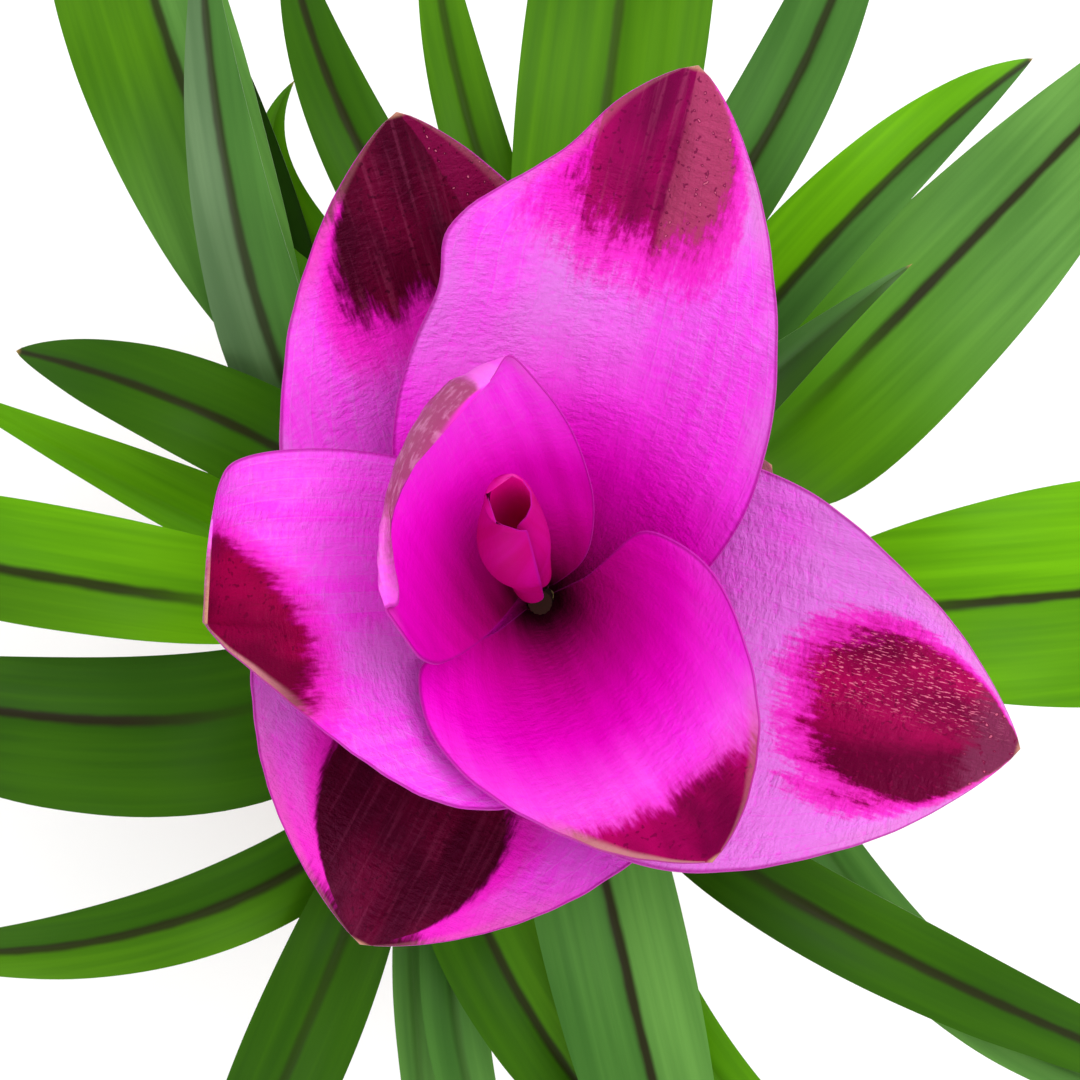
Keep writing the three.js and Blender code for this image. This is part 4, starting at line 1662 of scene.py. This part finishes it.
def stem_finish(name: str, light: Colour, dark: Colour, painted_shade_from: float) -> bpy.types.Material:
    """A ribbed green stem, painted nearly black from a height up as painted shade.

    Args:
        name: name of the material.
        light: its main green.
        dark: the green of its streaks.
        painted_shade_from: height in metres from which it is painted nearly black, the shade inside
            the flower head.

    Returns:
        The material.
    """
    g = Graph(name)
    place = g.spot()
    height = g.split(place)[2]
    streak = g.grain(place, (900.0, 900.0, 25.0), 3.0)
    colour = g.mix(g.step(streak, 0.38, 0.66), light, dark)
    # Painted shade: the stalk is painted nearly black inside the flower head, where shade falls.
    painted_shade = g.step(height, painted_shade_from, painted_shade_from + 6 * MM)
    colour = g.mix(painted_shade, colour, (0.020, 0.008, 0.005))
    rough = g.line(painted_shade, 0.5, 0.45)
    return g.finish(colour, rough, g.bump(streak, 0.2 * MM, 0.5), Specular_IOR_Level=0.12)


def sheath_finish() -> bpy.types.Material:
    """Leaf sheaths: pale and flushed red at the soil, greener towards the mouth."""
    g = Graph("sheath_green")
    place = g.spot()
    height = g.split(place)[2]
    streak = g.grain(place, (700.0, 700.0, 18.0), 3.0)
    fine = g.grain(place, (2400.0, 2400.0, 40.0), 2.0)
    level = g.line(streak, 0.03, height)
    colour = g.mix(g.step(level, 0.135, 0.185), (0.30, 0.36, 0.12), (0.13, 0.27, 0.035))
    red = g.rest(g.step(level, 0.115, 0.150))
    colour = g.tint(colour, (0.30, 0.085, 0.05), red, 0.7)
    colour = g.tint(colour, (0.10, 0.19, 0.03), g.step(fine, 0.45, 0.7), 0.35)
    return g.finish(colour, 0.42, g.bump(fine, 0.25 * MM, 0.5), Specular_IOR_Level=0.35)


def pouch_finish() -> bpy.types.Material:
    """The green bracts under the head, flushed with maroon towards their tips."""
    g = Graph("pouch_green")
    side, along, outer, _ = g.parts("span")
    place = g.parts("grain")[3]
    streak = g.grain(place, (0.7, 0.05, 1.0), 3.0, 0.6)
    cells = g.grain(place, (0.8, 2.0, 1.0), 2.0)
    colour = g.mix(g.step(streak, 0.36, 0.66), (0.24, 0.40, 0.09), (0.13, 0.27, 0.05))
    tip = g.step(g.line(streak, 0.3, along), 0.85, 1.08)
    colour = g.mix(tip, colour, (0.34, 0.03, 0.12))
    rim = g.step(g.math("ABSOLUTE", side), 0.86, 0.99)
    colour = g.tint(colour, (0.42, 0.12, 0.18), rim, 0.6)
    below = g.mix(0.4, colour, (0.30, 0.42, 0.16))
    colour = g.mix(outer, colour, below)
    return g.finish(colour, 0.45, g.bump(cells, 0.3 * MM, 0.6), Specular_IOR_Level=0.3)


def clay_finish() -> bpy.types.Material:
    """Unglazed clay, with turning marks, darker towards the bottom and a pale lime bloom."""
    g = Graph("clay")
    place = g.spot()
    height = g.split(place)[2]
    turning = g.grain(place, (4.0, 4.0, 900.0), 3.0)
    body = g.grain(place, (28.0, 28.0, 40.0), 4.0, 0.6)
    grit = g.grain(place, (1900.0, 1900.0, 1900.0), 2.0)
    bloom = g.grain(place, (22.0, 22.0, 34.0), 5.0, 0.7)
    colour = g.mix(g.step(body, 0.35, 0.68), (0.50, 0.175, 0.085), (0.40, 0.125, 0.055))
    colour = g.tint(colour, (0.56, 0.23, 0.12), g.step(turning, 0.5, 0.7), 0.25)
    colour = g.tint(colour, (0.30, 0.10, 0.05), g.step(grit, 0.62, 0.72), 0.35)
    darker_low = g.rest(g.step(g.line(body, 0.03, height), 0.022, 0.05))
    colour = g.tint(colour, (0.27, 0.08, 0.035), darker_low, 0.35)
    low = g.rest(g.step(height, 0.03, 0.09))
    lime = g.times(g.step(bloom, 0.52, 0.72), g.line(low, 0.4, 0.2))
    colour = g.mix(lime, colour, (0.68, 0.55, 0.46))
    relief = g.line(turning, 0.7, g.times(grit, 0.4))
    return g.finish(colour, 0.88, g.bump(relief, 0.35 * MM, 0.7), Specular_IOR_Level=0.2)


def earth_finish(name: str, light: Colour, dark: Colour, rough: float = 0.95) -> bpy.types.Material:
    """Crumbly matter.

    Args:
        name: name of the material.
        light: colour of its dry grains.
        dark: its main colour.
        rough: roughness.

    Returns:
        The material.
    """
    g = Graph(name)
    place = g.spot()
    grit = g.grain(place, (1100.0, 1100.0, 1100.0), 4.0, 0.7)
    patches = g.grain(place, (90.0, 90.0, 90.0), 3.0)
    colour = g.mix(g.step(grit, 0.5, 0.75), dark, light)
    colour = g.tint(colour, tuple(0.6 * c for c in dark), g.step(patches, 0.4, 0.7), 0.5)
    return g.finish(colour, rough, g.bump(grit, 0.5 * MM, 0.9), Specular_IOR_Level=0.15)


@dataclass
class Pot:
    """The turned clay pot, in millimetres.

    Attributes:
        height: its height.
        foot_radius: radius at its foot.
        shoulder_radius: radius under its rim.
        rim_radius: radius of its rim.
        rim_depth: height of its rim.
        rim_step: how far the rim stands out at its lower edge.
        rim_wall: thickness of its rim.
        wall: thickness of its wall.
        floor: thickness of its floor.
        drains: number of drain holes.
        drain_radius: radius of each.
        drain_circle: radius of the circle on which they lie.
        sides: points of each ring of its mesh.
    """

    height: float = 128.0
    foot_radius: float = 49.0
    shoulder_radius: float = 63.0
    rim_radius: float = 71.0
    rim_depth: float = 25.0
    rim_step: float = 4.0
    rim_wall: float = 6.0
    wall: float = 5.0
    floor: float = 7.0
    drains: int = 5
    drain_radius: float = 5.0
    drain_circle: float = 27.0
    sides: int = 144

    FOOT_ROUND = 1.5
    STEP_ROUND = 1.0
    RIM_ROUND = 2.0
    SHARP = 35.0

    def profile(self) -> list[Pair]:
        """Radius and height of each ring, from the underside round the rim to the floor inside."""
        rim_foot = self.height - self.rim_depth
        inner = self.rim_radius - self.rim_wall
        foot, step, rim = self.FOOT_ROUND, self.STEP_ROUND, self.RIM_ROUND
        rim_low = self.shoulder_radius + self.rim_step
        hollow = self.foot_radius - self.wall
        points: list[Pair] = [(self.foot_radius - 2 * foot, 0.0)]
        points += self.corner(self.foot_radius - foot, foot, foot, -90, 0)
        for share in np.linspace(0.04, 1.0, 26):
            span = self.shoulder_radius - self.foot_radius
            marks = 0.09 * math.sin(share * 74) + 0.05 * math.sin(share * 41 + 1)
            radius = self.foot_radius + span * share + marks - 0.1
            points.append((radius, foot + (rim_foot - foot) * share))
        points.append((self.shoulder_radius + 0.2, rim_foot + 0.02))
        points += self.corner(rim_low - step, rim_foot + step, step, -90, -5)
        for share in np.linspace(0.12, 0.88, 7):
            marks = 0.06 * math.sin(share * 30)
            radius = rim_low + (self.rim_radius - rim_low) * share + marks - 0.12
            points.append((radius, rim_foot + self.rim_depth * share))
        points += self.corner(self.rim_radius - rim, self.height - rim, rim, -5, 90)
        points += self.corner(inner + rim, self.height - rim, rim, 90, 180)
        points.append((inner - 0.3, self.height - 8.0))
        points.append((self.shoulder_radius - self.wall, rim_foot))
        points += self.corner(hollow - rim, self.floor + rim, rim, -180, -90)
        return points

    def corner(self, x: float, z: float, radius: float, first: float, last: float) -> list[Pair]:
        """A rounded corner.

        Args:
            x: radius of its centre from the axis.
            z: height of its centre.
            radius: its own radius.
            first: angle of its first point in degrees.
            last: angle of its last point.

        Returns:
            Five points.
        """
        turns = np.radians(np.linspace(first, last, 5))
        return [(x + radius * math.cos(t), z + radius * math.sin(t)) for t in turns]

    def build(self) -> None:
        """Makes the pot."""
        angle = np.linspace(0, 2 * math.pi, self.sides, endpoint=False)
        rings = []
        for radius, z in self.profile():
            across, deep = radius * np.cos(angle), radius * np.sin(angle)
            rings.append(np.column_stack([across, deep, np.full_like(angle, z)]))
        points = np.concatenate([*rings, [[0, 0, 0], [0, 0, self.floor]]])
        mesh = mesh_of("pot_skin", points, ring_faces(len(rings), self.sides))
        pot = shown("pot_skin", mesh, self.SHARP)
        cutters = self.drain_cutters()
        cut = pot.modifiers.new("drains", "BOOLEAN")
        cut.operation = "DIFFERENCE"
        cut.solver = "EXACT"
        cut.object = cutters
        settled(pot)
        bpy.data.objects.remove(cutters)
        pot.data.set_sharp_from_angle(angle=math.radians(self.SHARP))
        dress(pot, clay_finish(), "clay", "pot")

    def drain_cutters(self) -> bpy.types.Object:
        """One object that holds a cylinder for each drain hole."""
        shape = bmesh.new()
        for k in range(self.drains):
            turn = 2 * math.pi * k / self.drains
            made = bmesh.ops.create_cone(
                shape,
                cap_ends=True,
                segments=32,
                radius1=self.drain_radius * MM,
                radius2=self.drain_radius * MM,
                depth=(self.floor + 6) * MM,
            )
            place = Vector((math.cos(turn), math.sin(turn), 0)) * self.drain_circle * MM
            middle = Vector((0, 0, self.floor / 2 * MM))
            bmesh.ops.translate(shape, verts=made["verts"], vec=place + middle)
        mesh = bpy.data.meshes.new("drain_cutters")
        shape.to_mesh(mesh)
        shape.free()
        return placed("drain_cutters", mesh)


@dataclass
class Soil:
    """Potting soil with its crumbs and white grains, in millimetres.

    Attributes:
        solid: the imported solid, which gives the soil its form.
        top: height of its top in the middle.
        crown: how much lower it is at the wall.
        voxel: size of the cells of its mesh.
        crumb_size: size of its crumbs.
        grain_size: size of the white grains.
    """

    solid: bpy.types.Object
    top: float = 108.0
    crown: float = 4.0
    voxel: float = 1.5
    crumb_size: float = 1.5
    grain_size: float = 1.5

    CRUMB_SEED = 5
    CRUMB_DENSITY = 260000.0
    GRAIN_SEED = 11
    GRAIN_DENSITY = 16000.0
    FLATTEST = 0.5
    FULL_TURN = (6.3, 6.3, 6.3)
    LEAST_SIZE = (0.25, 0.25, 0.2)
    SIZE_SPREAD = (0.6, 0.6, 0.5)

    def build(self) -> None:
        """Makes the soil and what lies on it."""
        mesh = self.solid.data.copy()
        shape = bmesh.new()
        shape.from_mesh(mesh)
        bmesh.ops.remove_doubles(shape, verts=shape.verts, dist=0.01 * MM)
        shape.to_mesh(mesh)
        shape.free()
        soil = placed("soil_skin", mesh)
        remesh = soil.modifiers.new("even", "REMESH")
        remesh.mode = "VOXEL"
        remesh.voxel_size = self.voxel * MM
        settled(soil)
        places = np.zeros(len(soil.data.vertices) * 3)
        soil.data.vertices.foreach_get("co", places)
        places = places.reshape(-1, 3)
        brim = self.top - self.crown
        on_top = smooth(places[:, 2], (brim - 4) * MM, (brim - 1) * MM)
        flat = places[:, :2]
        lumps = ripple(flat, 4.0, 6 * MM) * 0.9 + ripple(flat, 9.0, 2.2 * MM) * 0.5
        places[:, 2] += (lumps - 0.9) * on_top * MM
        soil.data.vertices.foreach_set("co", places.ravel())
        soil.data.shade_smooth()
        dark = earth_finish("soil_dark", (0.12, 0.075, 0.045), (0.035, 0.021, 0.013))
        white = earth_finish("white_grain", (0.80, 0.79, 0.75), (0.62, 0.60, 0.55), 0.9)
        dress(soil, dark, "soil", "soil")
        tree = self.scatter_tree()
        for name, material, size, density, seed in (
            ("soil_crumbs", dark, self.crumb_size, self.CRUMB_DENSITY, self.CRUMB_SEED),
            ("soil_white_grains", white, self.grain_size, self.GRAIN_DENSITY, self.GRAIN_SEED),
        ):
            values = {
                "Lowest": (brim - 4.5) * MM,
                "Seed": seed,
                "Density": density,
                "Size": size * MM,
                "Material": material,
            }
            dress(grown(name, tree, values, soil.data.copy()), material, "soil")

    def scatter_tree(self) -> bpy.types.NodeTree:
        """A tree that scatters turned, uneven grains over the upward faces of a mesh."""
        tree = Growth("scatter_grains")
        lowest, density, size = (
            tree.input(name, "Float") for name in ("Lowest", "Density", "Size")
        )
        seed = tree.input("Seed", "Int")
        material = tree.input("Material", "Material")
        height = tree.split(tree.add("GeometryNodeInputPosition").outputs[0])[2]
        upward = tree.split(tree.add("GeometryNodeInputNormal").outputs[0])[2]
        high, facing = (
            tree.add("FunctionNodeCompare", {0: value, 1: least}, operation="GREATER_THAN")
            for value, least in ((height, lowest), (upward, self.FLATTEST))
        )
        both = tree.add("FunctionNodeBooleanMath", {0: high.outputs[0], 1: facing.outputs[0]})
        inputs = {
            "Mesh": tree.inputs.outputs["Geometry"],
            "Selection": both.outputs[0],
            "Density": density,
            "Seed": seed,
        }
        points = tree.add("GeometryNodeDistributePointsOnFaces", inputs)
        ball = tree.add("GeometryNodeMeshIcoSphere", {"Radius": 1.0, "Subdivisions": 1})
        turn, shape = (
            tree.add(
                "FunctionNodeRandomValue", {"Max": most, "Seed": seed}, data_type="FLOAT_VECTOR"
            )
            for most in (self.FULL_TURN, self.SIZE_SPREAD)
        )
        uneven = tree.vector("ADD", a=self.LEAST_SIZE, b=shape.outputs[0]).outputs[0]
        inputs = {
            "Points": points.outputs["Points"],
            "Instance": ball.outputs["Mesh"],
            "Rotation": turn.outputs[0],
            "Scale": tree.vector("SCALE", a=uneven, Scale=size).outputs[0],
        }
        grains = tree.add("GeometryNodeInstanceOnPoints", inputs)
        return tree.close(grains.outputs[0], material)


@dataclass
class Studio:
    """The floor, the lights and the camera, in metres.

    Attributes:
        camera_at: place of the camera.
        half_field: half the width that it sees, per metre of distance.
        sensor: width of its sensor in millimetres.
        floor_side: side of the square floor.
        floor_at: height of the floor, just under the pot.
    """

    camera_at: Triple = (0.0, 0.008, 0.555)
    half_field: float = 0.3335
    sensor: float = 36.0
    floor_side: float = 6.0
    floor_at: float = -0.0002

    CLIP_START = 0.01
    WHITE = (0.93, 0.93, 0.93)
    SKY = (1.0, 1.0, 1.0, 1.0)
    SKY_STRENGTH = 0.95
    LIT_AT = (0.0, 0.0, 0.25)

    def build(self) -> None:
        """Sets the studio up."""
        self.build_camera()
        self.build_floor()
        self.build_lights()

    def build_camera(self) -> None:
        """Puts the camera over the plant, looking straight down with +Y up the picture."""
        data = bpy.data.cameras.new("camera")
        data.sensor_width = self.sensor
        data.lens = self.sensor / 2 / self.half_field
        data.clip_start = self.CLIP_START
        camera = placed("camera", data)
        camera.location = self.camera_at
        bpy.context.scene.camera = camera

    def build_floor(self) -> None:
        """Lays a plain pale floor under the pot."""
        half = self.floor_side / 2
        corners = ((-half, -half), (half, -half), (half, half), (-half, half))
        mesh = bpy.data.meshes.new("floor")
        mesh.from_pydata([(x, y, self.floor_at) for x, y in corners], [], [(0, 1, 2, 3)])
        white = Graph("floor_white").finish(self.WHITE, 0.9, Specular_IOR_Level=0.1)
        mesh.materials.append(white)
        floor = placed("floor", mesh)

    def build_lights(self) -> None:
        """Adds a white surround and soft overhead lights."""
        world = bpy.data.worlds.new("surround")
        world.use_nodes = True
        background = world.node_tree.nodes["Background"]
        background.inputs["Color"].default_value = self.SKY
        background.inputs["Strength"].default_value = self.SKY_STRENGTH
        bpy.context.scene.world = world
        self.area("overhead", (0.45, 0.35, 1.4), 0.9, 11.0)
        self.area("side_fill", (-1.3, -0.8, 0.9), 0.9, 4.0)

    def area(self, name: str, place: Triple, size: float, power: float) -> None:
        """Adds a square soft light that faces the plant.

        Args:
            name: name of the light.
            place: where it hangs.
            size: its side.
            power: its power in watts.
        """
        data = bpy.data.lights.new(name, "AREA")
        data.size = size
        data.energy = power
        light = placed(name, data)
        light.location = place
        light.rotation_mode = "QUATERNION"
        aim = Vector(self.LIT_AT) - Vector(place)
        light.rotation_quaternion = aim.to_track_quat("-Z", "Y")


def main() -> None:
    """Builds the plant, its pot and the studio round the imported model."""
    logging.basicConfig(level=logging.INFO, format="%(name)s %(message)s")
    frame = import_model()
    bpy.context.scene.view_settings.view_transform = "Standard"
    Studio().build()
    for part in (Pot(), Soil(frame["nodes"]["soil"]), Foliage(), FlowerHead()):
        part.build()


if __name__ == "__main__":
    main()
